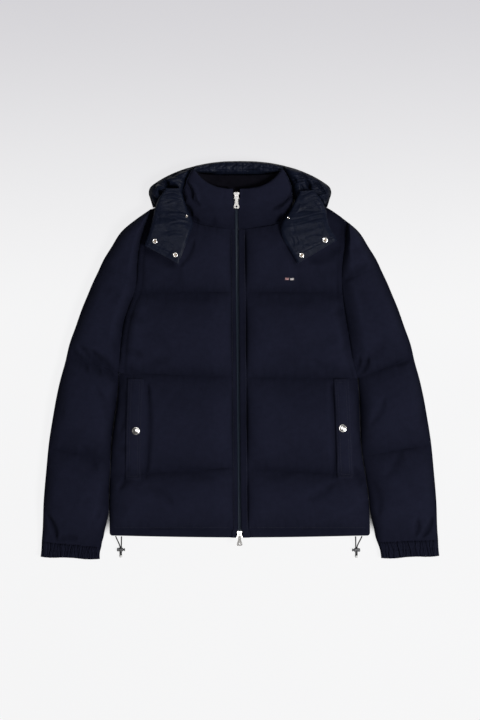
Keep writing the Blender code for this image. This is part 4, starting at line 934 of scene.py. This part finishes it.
def make_hood_centre():
    """The hood's middle panel: gathered flat under the collar and rolled up behind it."""
    up = np.concatenate([np.linspace(0, 0.78, 14), np.linspace(0.8, 1, 34)])[:, None]
    across = np.linspace(-1, 1, 121)[None]
    half = [smooth(up, HOOD_CENTRE["up"], HOOD_CENTRE[name]) for name in ("right", "left")]
    x = across * np.where(across > 0, half[1], half[0])
    high_y = smooth(np.abs(x), HOOD_ARC["x"], HOOD_ARC["y"])
    y = mix(HOOD_START_Y, high_y, up)
    edge = high_y - y
    rolled = HOOD_MID + (HOOD_ROLL_HIGH - HOOD_MID) * rise(edge, 8)
    flat = mix(7.6, 15.0, (y - HOOD_START_Y) / (HOOD_ROLL_Y - HOOD_START_Y))
    top = mix(np.minimum(flat, rolled), rolled, ease((y - HOOD_ROLL_Y) / 4))
    lens = groove(x + 38, 17) + groove(x - 25, 15)
    shows = ease((y - HOOD_ROLL_Y) / 3) * rise(edge, 5)
    top = top + shows * (1.3 * ripple(x / 17 + 0.3 * np.sin(y / 3), 1.0) + 0.8 * ripple(x / 7, 2.0))
    top = top - shows * 4.5 * lens * groove(edge - 19 + 1.5 * np.sin(x / 20), 2.2)
    top = top - shows * 1.4 * groove(edge - 9 - 2 * np.sin(x / 26), 2.6)
    low = np.minimum(HOOD_MID - RIM, top - 1.5) * (1 - rise(edge, 12))
    return layer("hood_centre_cloth", x, y, top, low, NYLON)


HOOD_FOLDS = {
    "right": [
        (-155.4, 375.5, -150.2, 362.9, 4, -8), (-153.3, 362.9, -130.2, 360.8, 4, -8),
        (-170.1, 355.5, -157.5, 330.3, 4, -5), (-176.4, 363.3, -153.3, 358.7, 3.2, 3),
        (-155.4, 355.5, -150.2, 338.7, 3, 2.5), (-182.7, 345, -172.2, 321.9, 3, -2.5),
        (-142.8, 380.7, -111.3, 396.5, 3, -2), (-161.7, 370.2, -130.2, 390.2, 2.6, -1.6),
        (-178.5, 357.6, -172.2, 370.2, 3, -3), (-147, 371.3, -117.6, 378.6, 4, 1.5),
    ],
    "left": [
        (136.5, 376.5, 146, 356.6, 4, -6), (141.8, 351.3, 154.3, 349.2, 3.6, -9),
        (153.3, 349.2, 151.8, 337.1, 3.4, -8), (105, 382.8, 117.6, 372.3, 3, -3),
        (119.7, 389.1, 140.7, 378.6, 3, -2.5), (151.2, 372.3, 172.2, 357.6, 3, -3),
        (161.7, 363.9, 178.5, 345, 3, -2.5), (126, 366, 132.3, 345, 3, -2),
        (157.5, 336.6, 172.2, 321.9, 2.6, -2.2), (163.8, 345, 176.4, 328.2, 2.6, 2),
        (142.8, 387, 168, 372.3, 3, 1.8), (119.7, 345, 132.3, 328.2, 3, -2),
    ],
}
FLAP_FOLDS = {
    "right": [
        (-155.4, 337.7, -123.9, 335.6, 3.2, 1), (-151.2, 326.1, -117.6, 328.2, 3, 1),
        (-168, 313.5, -126, 310.4, 3, 1.1), (-153.3, 303, -111.3, 303, 2.8, 1),
        (-172.2, 295.7, -134.4, 292.5, 2.8, -1.1), (-149.1, 286.2, -109.2, 290.4, 2.6, 0.9),
        (-147, 277.8, -113.4, 281, 3, 1), (-155.4, 267.3, -121.8, 270.5, 3, -0.9),
        (-149.1, 256.8, -119.7, 258.9, 3, 0.7), (-161.7, 246.3, -136.5, 233.7, 4, 0.6),
        (-174.3, 307.2, -168, 286.2, 3, -1),
    ],
    "left": [
        (119.7, 308.3, 153.3, 310.4, 2.6, -1.2), (134.4, 317.7, 151.2, 315.6, 2.4, -1),
        (155.4, 330.3, 170.1, 311.4, 3, 1), (159.6, 336.6, 176.4, 319.8, 2.6, -1),
        (107.1, 254.7, 111.3, 237.9, 2.4, -0.9), (115.5, 256.8, 119.7, 240, 2.4, -0.9),
        (123.9, 252.6, 130.2, 231.6, 2.4, -0.8), (136.5, 252.6, 172.2, 256.8, 4, 0.8),
        (132.3, 240, 163.8, 246.3, 4, -0.6), (109.2, 284.1, 111.3, 263.1, 4, -0.7),
        (126, 326.1, 117.6, 307.2, 3, 0.9), (163.8, 286.2, 172.2, 265.2, 3.5, -0.7),
        (132.3, 290.4, 157.5, 275.7, 6, 0.7),
    ],
}


def make_hood_side(side, sign):
    """A side panel of the hood, gathered into a soft roll between collar, shoulder and silhouette."""
    station = np.linspace(0, 7, 180)[:, None]
    across = graded(64, 0.5)[None]
    ix, iy = by_row(station, HOOD_INNER, ("x", "y"))
    ox, oy = by_row(station, HOOD_OUTER, ("x", "y"))
    ix = ix - np.interp(station, np.arange(8), HOOD_TUCK[side])
    width = np.hypot(ox - ix, oy - iy)
    taper = rise(np.minimum(station, 7 - station) + 0.25, 1.2)
    x, y = mix(ix, ox, across), mix(iy, oy, across)
    profile = np.minimum(rise(across * width, 16), rise((1 - across) * width, 20)) * taper
    gather = 1.4 * np.sin(station * 5.2 + across * 1.7) * np.sin(np.pi * across)
    fine = ripple(station * 2.3 + 0.9 * across + 0.4 * np.sin(across * 6), sign)
    fine = fine + 0.7 * ripple(station * 5.3 - 1.6 * across, sign + 4)
    fine = fine * (0.8 + 0.6 * patches(x, y, 19, sign))
    top = HOOD_MID + (HOOD_SIDE_HIGH - HOOD_MID) * profile
    top = top + (gather + fine + 1.5 * creases(sign * x, y, HOOD_FOLDS[side])) * profile
    low = (HOOD_MID - RIM) * (1 - profile)
    top = np.maximum(top, low + 2)
    return layer("hood_side_cloth_" + side, sign * x, y, top, low, NYLON)


def evened(field, times):
    """The field with each point drawn towards its neighbours."""
    for _ in range(times):
        field[1:-1] = (field[:-2] + 2 * field[1:-1] + field[2:]) / 4
        field[:, 1:-1] = (field[:, :-2] + 2 * field[:, 1:-1] + field[:, 2:]) / 4
    return field


def make_flap(side, sign, support):
    """A hood corner lying over the shoulder, where its solid does, with soft folds and a stitched hem."""
    down = graded(120, 0.2)[:, None] * 6
    across = graded(70, 0.5)[None]
    ox, oy, ix, iy = by_row(down, HOOD_FLAP[side], ("outer_x", "outer_y", "inner_x", "inner_y"))
    x, y = sign * mix(ox, ix, across), mix(oy, iy, across)
    tree = tree_of(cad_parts["hood_flap_" + side])
    under, over = np.zeros(x.shape), np.zeros(x.shape)
    centre_x, centre_y = x.mean(axis=1), y.mean(axis=1)
    for i in range(x.shape[0]):
        for j in range(x.shape[1]):
            px, py = mix(centre_x[i], x[i, j], 0.985), mix(centre_y[i], y[i, j], 0.985)
            if i < 2 or i > x.shape[0] - 3:
                px, py = mix(np.mean(x), px, 0.97), mix(np.mean(y), py, 0.97)
            low = tree.ray_cast(Vector((px, py, -50)), Vector((0, 0, 1)))[0]
            high = tree.ray_cast(Vector((px, py, RAY_HIGH)), Vector((0, 0, -1)))[0]
            near = tree.find_nearest(Vector((px, py, 42)))[0]
            rests = support(x[i, j], y[i, j]) or 0
            under[i, j] = max(low.z if low else near.z, rests + 0.4)
            over[i, j] = max(high.z if high else near.z + 2, rests + 4)
    under, over = evened(under, 6), evened(over, 10)
    body = rise(np.minimum(across, 1 - across), 0.14) * rise(np.minimum(down, 6 - down), 0.5)
    rows = ripple(down * 2.1 + 0.35 * np.sin(across * 5 + sign), sign + 1) * ease((4.4 - down) / 1.5)
    hem = ripple(across * 6 + down * 0.6, sign + 6) * ease((down - 4.8) / 0.8)
    top = over + body * (0.45 * rows + 0.5 * hem + 0.8 * patches(x, y, 15, sign))
    top = top + body * 1.1 * creases(x, y, FLAP_FOLDS[side])
    top = top - 0.9 * groove(down - 5.5, 0.05) * body - 0.7 * groove(across - 0.06, 0.012) * body
    top = np.maximum(top, under + 1.2)
    return layer("hood_flap_cloth_" + side, x, y, top, under, NYLON)


def make_welt(side, sign, support):
    """A pocket welt, stitched twice round its edge, lying on the front."""
    down = np.linspace(0, 2, 150)[:, None]
    across = graded(40, 0.5)[None]
    ox, ix, y = by_row(down, WELT[side], ("outer_x", "inner_x", "y"))
    x = sign * mix(ox, ix, across)
    y = y + 0 * x
    under = np.array([[support(*place) + 0.25 for place in zip(*row)] for row in zip(x, y)])
    from_edge = np.minimum(np.minimum(across, 1 - across) * 34, np.minimum(down, 2 - down) * 105)
    thick = mix(0.9, WELT_HIGH, rise(from_edge + 0.2, 4))
    for inset in WELT_STITCHES:
        thick = thick - 0.7 * groove(from_edge - inset, 0.7)
    thick = thick + 0.45 * patches(x, y, 18, sign) * rise(from_edge, 4)
    top = evened(under + thick, 3)
    top = np.maximum(top, under + 0.5)
    return layer("welt_cloth_" + side, x, y, top, under, WOOL)


# ---------------------------------------------------------------- hardware and trims

TURNED_SIDES = 28


def turned(profile, centre, normal, material, name):
    """A lathe piece: (radius, height) pairs turned round the normal."""
    mesh = bmesh.new()
    rings = []
    for radius, high in profile:
        if radius == 0:
            rings.append([mesh.verts.new((0, 0, high))])
            continue
        turns = [2 * math.pi * k / TURNED_SIDES for k in range(TURNED_SIDES)]
        rings.append([mesh.verts.new((radius * math.cos(t), radius * math.sin(t), high)) for t in turns])
    for low, high in zip(rings, rings[1:]):
        for k in range(TURNED_SIDES):
            nxt = (k + 1) % TURNED_SIDES
            face = [low[k % len(low)], low[nxt % len(low)], high[nxt % len(high)], high[k % len(high)]]
            mesh.faces.new(list(dict.fromkeys(face)))
    place = Matrix.Translation(centre) @ Vector((0, 0, 1)).rotation_difference(normal).to_matrix().to_4x4()
    bmesh.ops.transform(mesh, matrix=place, verts=mesh.verts)
    return finish(mesh, name, material, "polished_metal", sharp=40.0)


SNAPS = (               # side, name, x, y, diameter, height
    ("right", "pocket", 216.5, -146.8, 16.6, 2.6), ("left", "pocket", 213.8, -141.5, 16.6, 2.6),
    ("right", "hood_outer", 177.0, 247.4, 11.4, 2.2), ("right", "hood_inner", 134.2, 219.0, 11.4, 2.2),
    ("left", "hood_outer", 177.0, 250.0, 12.4, 2.2), ("left", "hood_inner", 128.1, 218.4, 11.4, 2.2),
    ("right", "hood_neck", 111.0, 300.0, 6.2, 1.6), ("left", "hood_neck", 101.0, 296.0, 6.2, 1.6),
)
DOME = ((0, 0), (0.95, 0), (1.0, 0.16), (1.0, 0.3), (0.95, 0.42), (0.86, 0.5), (0.8, 0.5), (0.74, 0.66), (0.6, 0.82),
        (0.4, 0.94), (0.2, 1.0), (0, 1.02))
RING = ((0, 0), (0.95, 0), (1.0, 0.2), (1.0, 0.5), (0.93, 0.78), (0.8, 0.95), (0.66, 0.98), (0.52, 0.86), (0.42, 0.6),
        (0.38, 0.42), (0.2, 0.4), (0, 0.4))
SNAP_REACH = 0.95        # share of the radius at which the cloth under a snap is measured
SNAP_LIFT = 0.35
PIP = ((0, 0.3), (0.36, 0.3), (0.36, 0.5), (0.28, 0.62), (0.12, 0.66), (0, 0.66))


def make_snap(side, name, x, y, diameter, high, sign, support):
    """A press snap: a polished dome on the pockets, a rolled ring round a tan pip on the hood."""
    x, radius = sign * x, diameter / 2
    reach = radius * SNAP_REACH
    level = [support(x + dx, y + dy) for dx, dy in ((reach, 0), (-reach, 0), (0, reach), (0, -reach), (0, 0))]
    normal = Vector(((level[1] - level[0]) / (2 * reach), (level[3] - level[2]) / (2 * reach), 1)).normalized()
    centre = Vector((x, y, max(level[4], sum(level[:4]) / 4))) + normal * SNAP_LIFT
    shape = DOME if name == "pocket" else RING
    profile = [(radius * r, high * h) for r, h in shape]
    cap = turned(profile, centre, normal, STEEL, f"snap_cap_{name}_{side}")
    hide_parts(f"snap_{name}_{side}")
    if shape is RING:
        turned([(radius * r, high * h) for r, h in PIP], centre, normal, TAN, f"snap_pip_{name}_{side}")


def zip_height(y):
    """Height of the tape's underside along the zip."""
    up = np.clip((y - NECK_Y) / 85.4, 0, 1)
    return TAPE_IN + 14.1 * up**1.25


COIL_PITCH = 1.5
ZIP_SECTION = table("x z tooth", [
    (0.2, 0, 0), (12.4, 0, 0), (12.4, 1.1, 0), (8, 1.15, 0), (3.9, 1.1, 0), (3.4, 1.3, 0), (3.2, 1.9, 0.3),
    (2.8, 2.5, 0.8), (2.2, 2.9, 1), (1.5, 3, 1), (0.8, 2.9, 1), (0.35, 2.4, 0.7), (0.2, 1.6, 0.2),
])


def make_zip(side, sign):
    """A zip tape with its half of the coil, as one closed strip with a rib for each turn."""
    ends = (SLIDER_MOUTH_Y["bottom"] + 0.4, SLIDER_MOUTH_Y["top"] - 0.4)
    rows = int((ends[1] - ends[0]) / COIL_PITCH * 4)
    y = np.linspace(*ends, rows)[:, None]
    turn = 0.5 + 0.5 * np.sin(2 * np.pi * y / COIL_PITCH + (math.pi if sign > 0 else 0))
    dx, dz, tooth = [ZIP_SECTION[name][None] for name in ("x", "z", "tooth")]
    x = zip_x(y) + sign * dx
    z = zip_height(y) + dz - 0.9 * tooth * (1 - turn)
    index = numbered(*z.shape)
    index = np.concatenate([index, index[:, :1]], axis=1)
    quads = quads_of(index)
    faces = quads.tolist() + [index[0, :-1].tolist(), index[-1, -2::-1].tolist()]
    made = finish(mesh_of(stack(x, y + 0 * dx, z), faces), "zip_coil_" + side, TAPE, "zip_tape")
    return dress(made, COIL, np.arange(len(quads)) % z.shape[1] > 4)


STITCH_PITCH, STITCH_LONG, STITCH_WIDE = 3.4, 2.3, 0.5


def stitches(name, lines, support):
    """Short raised thread dashes along lines of (x, y) points, as one mesh."""
    mesh = bmesh.new()
    for line in lines:
        line = np.array(line, float)
        steps = np.concatenate([[0], np.cumsum(np.hypot(*np.diff(line, axis=0).T))])
        for at in np.arange(STITCH_PITCH / 2, steps[-1] - STITCH_PITCH / 2, STITCH_PITCH):
            ends = [[np.interp(at + d, steps, line[:, k]) for k in (0, 1)]
                    for d in (-STITCH_LONG / 2, 0, STITCH_LONG / 2)]
            heights = [support(*end) for end in ends]
            if None in heights or max(heights) - min(heights) > 2:
                continue
            way = Vector((ends[2][0] - ends[0][0], ends[2][1] - ends[0][1])).normalized()
            side = Vector((-way.y, way.x)) * STITCH_WIDE / 2
            bead(mesh, [[(px + side.x * a * half, py + side.y * a * half, high + b)
                         for a, b in ((-1, -0.3), (-0.6, proud), (0.6, proud), (1, -0.3))]
                        for (px, py), high, half, proud in zip(ends, heights, (0.5, 1, 0.5), (-0.05, 0.22, -0.05))])
    return finish(mesh, name, THREAD, "navy_wool")


DASHES = ((98.0, 170.4), (108.4, 169.9))
DASH_SIZE = (7.6, 5.6)
DASH_THREADS = 15


def make_dashes(support):
    """Two small plain embroidered dashes on the chest, each of close satin stitches."""
    for k, (cx, cy) in enumerate(DASHES):
        mesh = bmesh.new()
        wide, tall = DASH_SIZE
        for t in range(DASH_THREADS):
            x = cx + (t + 0.5) / DASH_THREADS * wide - wide / 2
            half = wide / DASH_THREADS / 2
            base = support(x, cy)
            bead(mesh, [[(x + a * half, cy + v * tall / 2, base + b * (1 if abs(v) < 0.9 else 0.2))
                         for a, b in ((-1, -0.2), (-0.7, 0.35), (0, 0.5), (0.7, 0.35), (1, -0.2))]
                        for v in (-1, -0.8, 0, 0.8, 1)])
        finish(mesh, f"chest_dash_{k + 1}", (ROSE, PALE_THREAD)[k], "navy_wool")


CORD_RADIUS = 1.25
CORD_Z = 17.5
CORD_EXIT = {"right": ((260.2, -368.2), (248.0, -368.9)), "left": ((241.9, -368.9), (255.2, -368.4))}
TOGGLE = {"right": (250.3, -397.2), "left": (244.2, -398.0)}
TOGGLE_RADIUS = 3.9
TOGGLE_Z = 4.5
BEAD_GAP = 8.0


def cord_route(side, which):
    """Points down one strand: out of the hem, through the toggle, to the end bead."""
    (ex, ey), (tx, ty) = CORD_EXIT[side][which], TOGGLE[side]
    lane = 1.3 if ex > tx else -1.3
    return [
        (ex, ey, CORD_Z), (mix(ex, tx + lane, 0.25), ey - 5.5, CORD_Z - 2.2),
        (mix(ex, tx + lane, 0.66), ey - 14.0, 9.2), (tx + lane, ty + TOGGLE_RADIUS + 2.5, TOGGLE_Z + 0.2),
        (tx + lane, ty, TOGGLE_Z), (tx + lane, ty - TOGGLE_RADIUS - 3, TOGGLE_Z - 0.4),
        (tx + lane, ty - TOGGLE_RADIUS - BEAD_GAP + 0.3, 3.6),
    ]


def make_cord(side, sign, which):
    """One braided strand of the hem drawcord."""
    route = np.array(cord_route(side, which))
    rows = np.arange(len(route), dtype=float)
    line = np.stack([smooth(np.linspace(0, len(route) - 1, 37), rows, route[:, k]) for k in range(3)], axis=1)
    line = line * (sign, 1, 1) * MM
    name = f"drawcord_{side}_{'ab'[which]}"
    curve = bpy.data.curves.new(name, "CURVE")
    curve.dimensions = "3D"
    curve.bevel_depth = CORD_RADIUS * MM
    curve.bevel_resolution = 4
    curve.use_fill_caps = True
    spline = curve.splines.new("POLY")
    spline.points.add(len(line) - 1)
    for point, place in zip(spline.points, line):
        point.co = (*place, 1)
    curve.materials.append(CORD)
    made = placed(name, curve)
    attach(made, BODY)
    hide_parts(f"hem_cord_{side}_{'ab'[which]}")
    tuple(line[0])
    float(np.linalg.norm(np.diff(line, axis=0), axis=1).sum())


# ---------------------------------------------------------------- scene

# Height map for the painted shade in seams and creases.
CAVITY_STEP = 3.0       # spacing of the height map
CAVITY_REACH = (4, 14)  # steps around each place that are averaged, near and wide
CAVITY_DEEP = 16.0      # depth below its surroundings that changes the painted shade mark by 1
CAVITY_LEVEL = 0.25     # painted shade mark of level cloth
CAVITY_SPAN = 430       # the height map reaches this far to each side


def blurred(field, reach):
    """Averages a field over a soft round patch, by passes along each axis."""
    weight = np.exp(-((np.arange(-3 * reach, 3 * reach + 1) / (1.2 * reach)) ** 2))
    weight /= weight.sum()
    for axis in (0, 1):
        field = np.apply_along_axis(lambda line: np.convolve(line, weight, mode="same"), axis, field)
    return field


def mark_painted_shade(pieces, height):
    """Stores on each point how far it lies below the cloth around it, as the mark for painted shade."""
    steps = np.arange(-CAVITY_SPAN, CAVITY_SPAN + 1, CAVITY_STEP)
    found = np.array([[height(x, y) or 0.0 for x in steps] for y in steps])
    inside = (found > 0).astype(float)
    around = sum(blurred(found, reach) / np.maximum(blurred(inside, reach), 0.02) for reach in CAVITY_REACH) / 2
    painted_shade_depth = np.where(inside > 0, around - found, 0.0)
    for piece in pieces:
        places = np.empty(len(piece.data.vertices) * 3)
        piece.data.vertices.foreach_get("co", places)
        x, y, _ = places.reshape(-1, 3).T / MM
        col, row = [np.clip((at - steps[0]) / CAVITY_STEP, 0, len(steps) - 2) for at in (x, y)]
        i, j = row.astype(int), col.astype(int)
        u, v = row - i, col - j
        low = mix(painted_shade_depth[i, j], painted_shade_depth[i, j + 1], v)
        high = mix(painted_shade_depth[i + 1, j], painted_shade_depth[i + 1, j + 1], v)
        depth = piece.data.attributes.new("painted_shade_depth", "FLOAT", "POINT")
        depth.data.foreach_set("value", np.clip(CAVITY_LEVEL + mix(low, high, u) / CAVITY_DEEP, 0, 1))


def floor_material():
    """A pale floor with a painted glow, dimmed by a painted falloff of light towards the top of the picture; the glow
    goes out in narrow gaps as painted shade.
    """
    made, tree, shader, place = nodes_of("pale_floor")
    link = tree.links.new
    split = add(tree, "SeparateXYZ")
    link(place, split.inputs[0])
    up = map_range(tree, split.outputs["Y"], FLOOR_PAINTED_FALLOFF, 1.0, interpolation_type="SMOOTHSTEP")
    paper = texture(tree, place, "Noise", Scale=3.0, Detail=2.0)
    paint = ramp(tree, weigh(tree, paper, 0.06, up), FLOOR_LOW, FLOOR_TOP_PAINTED_DIM, (0.03, 1.03))
    link(paint, shader.inputs["Emission Color"])
    # painted shade: ambient occlusion turns the glow off in narrow gaps
    gap_occlusion = add(tree, "AmbientOcclusion", Distance=FLOOR_GAP)
    link(map_range(tree, gap_occlusion.outputs["AO"], FLOOR_OPEN, FLOOR_PAINTED_GLOW), shader.inputs["Emission Strength"])
    dim = add(tree, "MixRGB", blend_type="MULTIPLY", Fac=1.0, Color2=(1 - FLOOR_PAINTED_GLOW,) * 3 + (1,))
    link(paint, dim.inputs["Color1"])
    link(dim.outputs["Color"], shader.inputs["Base Color"])
    constants(shader, {"Roughness": 0.9, "Specular IOR Level": 0.0})
    return made


def camera_and_light():
    """Camera straight down, the floor, and soft light from above."""
    floor = bpy.data.meshes.new("floor")
    floor.from_pydata([(x * FLOOR_HALF, y * FLOOR_HALF, 0) for x, y in ((-1, -1), (1, -1), (1, 1), (-1, 1))], [],
                      [(0, 1, 2, 3)])
    floor.materials.append(floor_material())
    placed("floor", floor, (0, 0, FLOOR_Z))

    camera = bpy.data.cameras.new("camera")
    camera.sensor_width = SENSOR
    camera.lens = SENSOR * CAMERA_HIGH / VIEW_TALL
    bpy.context.scene.camera = placed("camera", camera, (0, CAMERA_Y, CAMERA_HIGH))

    for name, place, size, power in LAMPS:
        light = bpy.data.lights.new(name, "AREA")
        light.energy = power
        light.size = size
        placed(name, light, place).rotation_euler = (-Vector(place)).to_track_quat("-Z", "Y").to_euler()
    pool = bpy.data.lights.new("pool", "SPOT")
    pool.energy, pool.spot_size, pool.spot_blend, pool.shadow_soft_size = POOL
    placed("pool", pool, POOL_PLACE)
    world = bpy.data.worlds.new("studio")
    world.use_nodes = True
    world.node_tree.nodes["Background"].inputs["Color"].default_value = (1, 1, 1, 1)
    world.node_tree.nodes["Background"].inputs["Strength"].default_value = WORLD
    bpy.context.scene.world = world
    bpy.context.scene.view_settings.view_transform = "Standard"


camera_and_light()
for side, sign in SIDES:
    for which in (0, 1):
        make_cord(side, sign, which)

pieces = {}
for side, sign in SIDES:
    pieces["front_" + side] = make_front(side, sign)
    pieces["sleeve_" + side] = make_sleeve(side, sign)
    pieces["cuff_" + side] = make_cuff(side, sign)
    pieces["hood_side_" + side] = make_hood_side(side, sign)
    under = top_of([pieces["front_" + side], pieces["sleeve_" + side], pieces["hood_side_" + side]])
    pieces["hood_flap_" + side] = make_flap(side, sign, under)
    pieces["welt_" + side] = make_welt(side, sign, top_of([pieces["front_" + side]]))
    pieces["zip_" + side] = make_zip(side, sign)
pieces["back"] = make_back()
pieces["collar"] = make_collar()
pieces["hood_centre"] = make_hood_centre()
for node, piece in pieces.items():
    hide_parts(node)

cloth = [piece for node, piece in pieces.items() if node != "back"]
surface = top_of(cloth)
# painted shade: marks how deep each cloth point lies in its seams and creases
mark_painted_shade(cloth, surface)
for snap in SNAPS:
    make_snap(*snap, dict(SIDES)[snap[0]], surface)
make_dashes(surface)
for side, sign in SIDES:
    stitch = PLACKET_STITCH[side] - PLACKET_EDGE
    lines = [[(sign * (sign * zip_x(y) + PLACKET_EDGE + stitch - 1.6), y)
              for y in np.linspace(HEM_Y + 8, NECK_Y - 6, 60)],
             [(sign * x, HEM_STITCH_Y + 2.6) for x in np.linspace(20, 262, 30)]]
    welt = WELT[side]
    for inset in WELT_STITCHES:
        corners = [(welt["outer_x"][k] - inset, welt["y"][k]) for k in range(3)]
        corners += [(welt["inner_x"][k] + inset, welt["y"][k]) for k in (2, 1, 0)]
        low, high = welt["y"][2] + inset, welt["y"][0] - inset
        lines.append([(sign * x, min(max(y, low), high)) for x, y in corners + corners[:1]])
    stitches("stitches_front_" + side, lines, surface)

FINISHES = (("slider", STEEL), ("pull", STEEL), ("cord_lock", BARREL), ("cord_plunger", DARK), ("cord_end", PALE))
for node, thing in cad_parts.items():
    for start, material in FINISHES:
        if node.startswith(start):
            for place in thing.material_slots:
                place.material = material
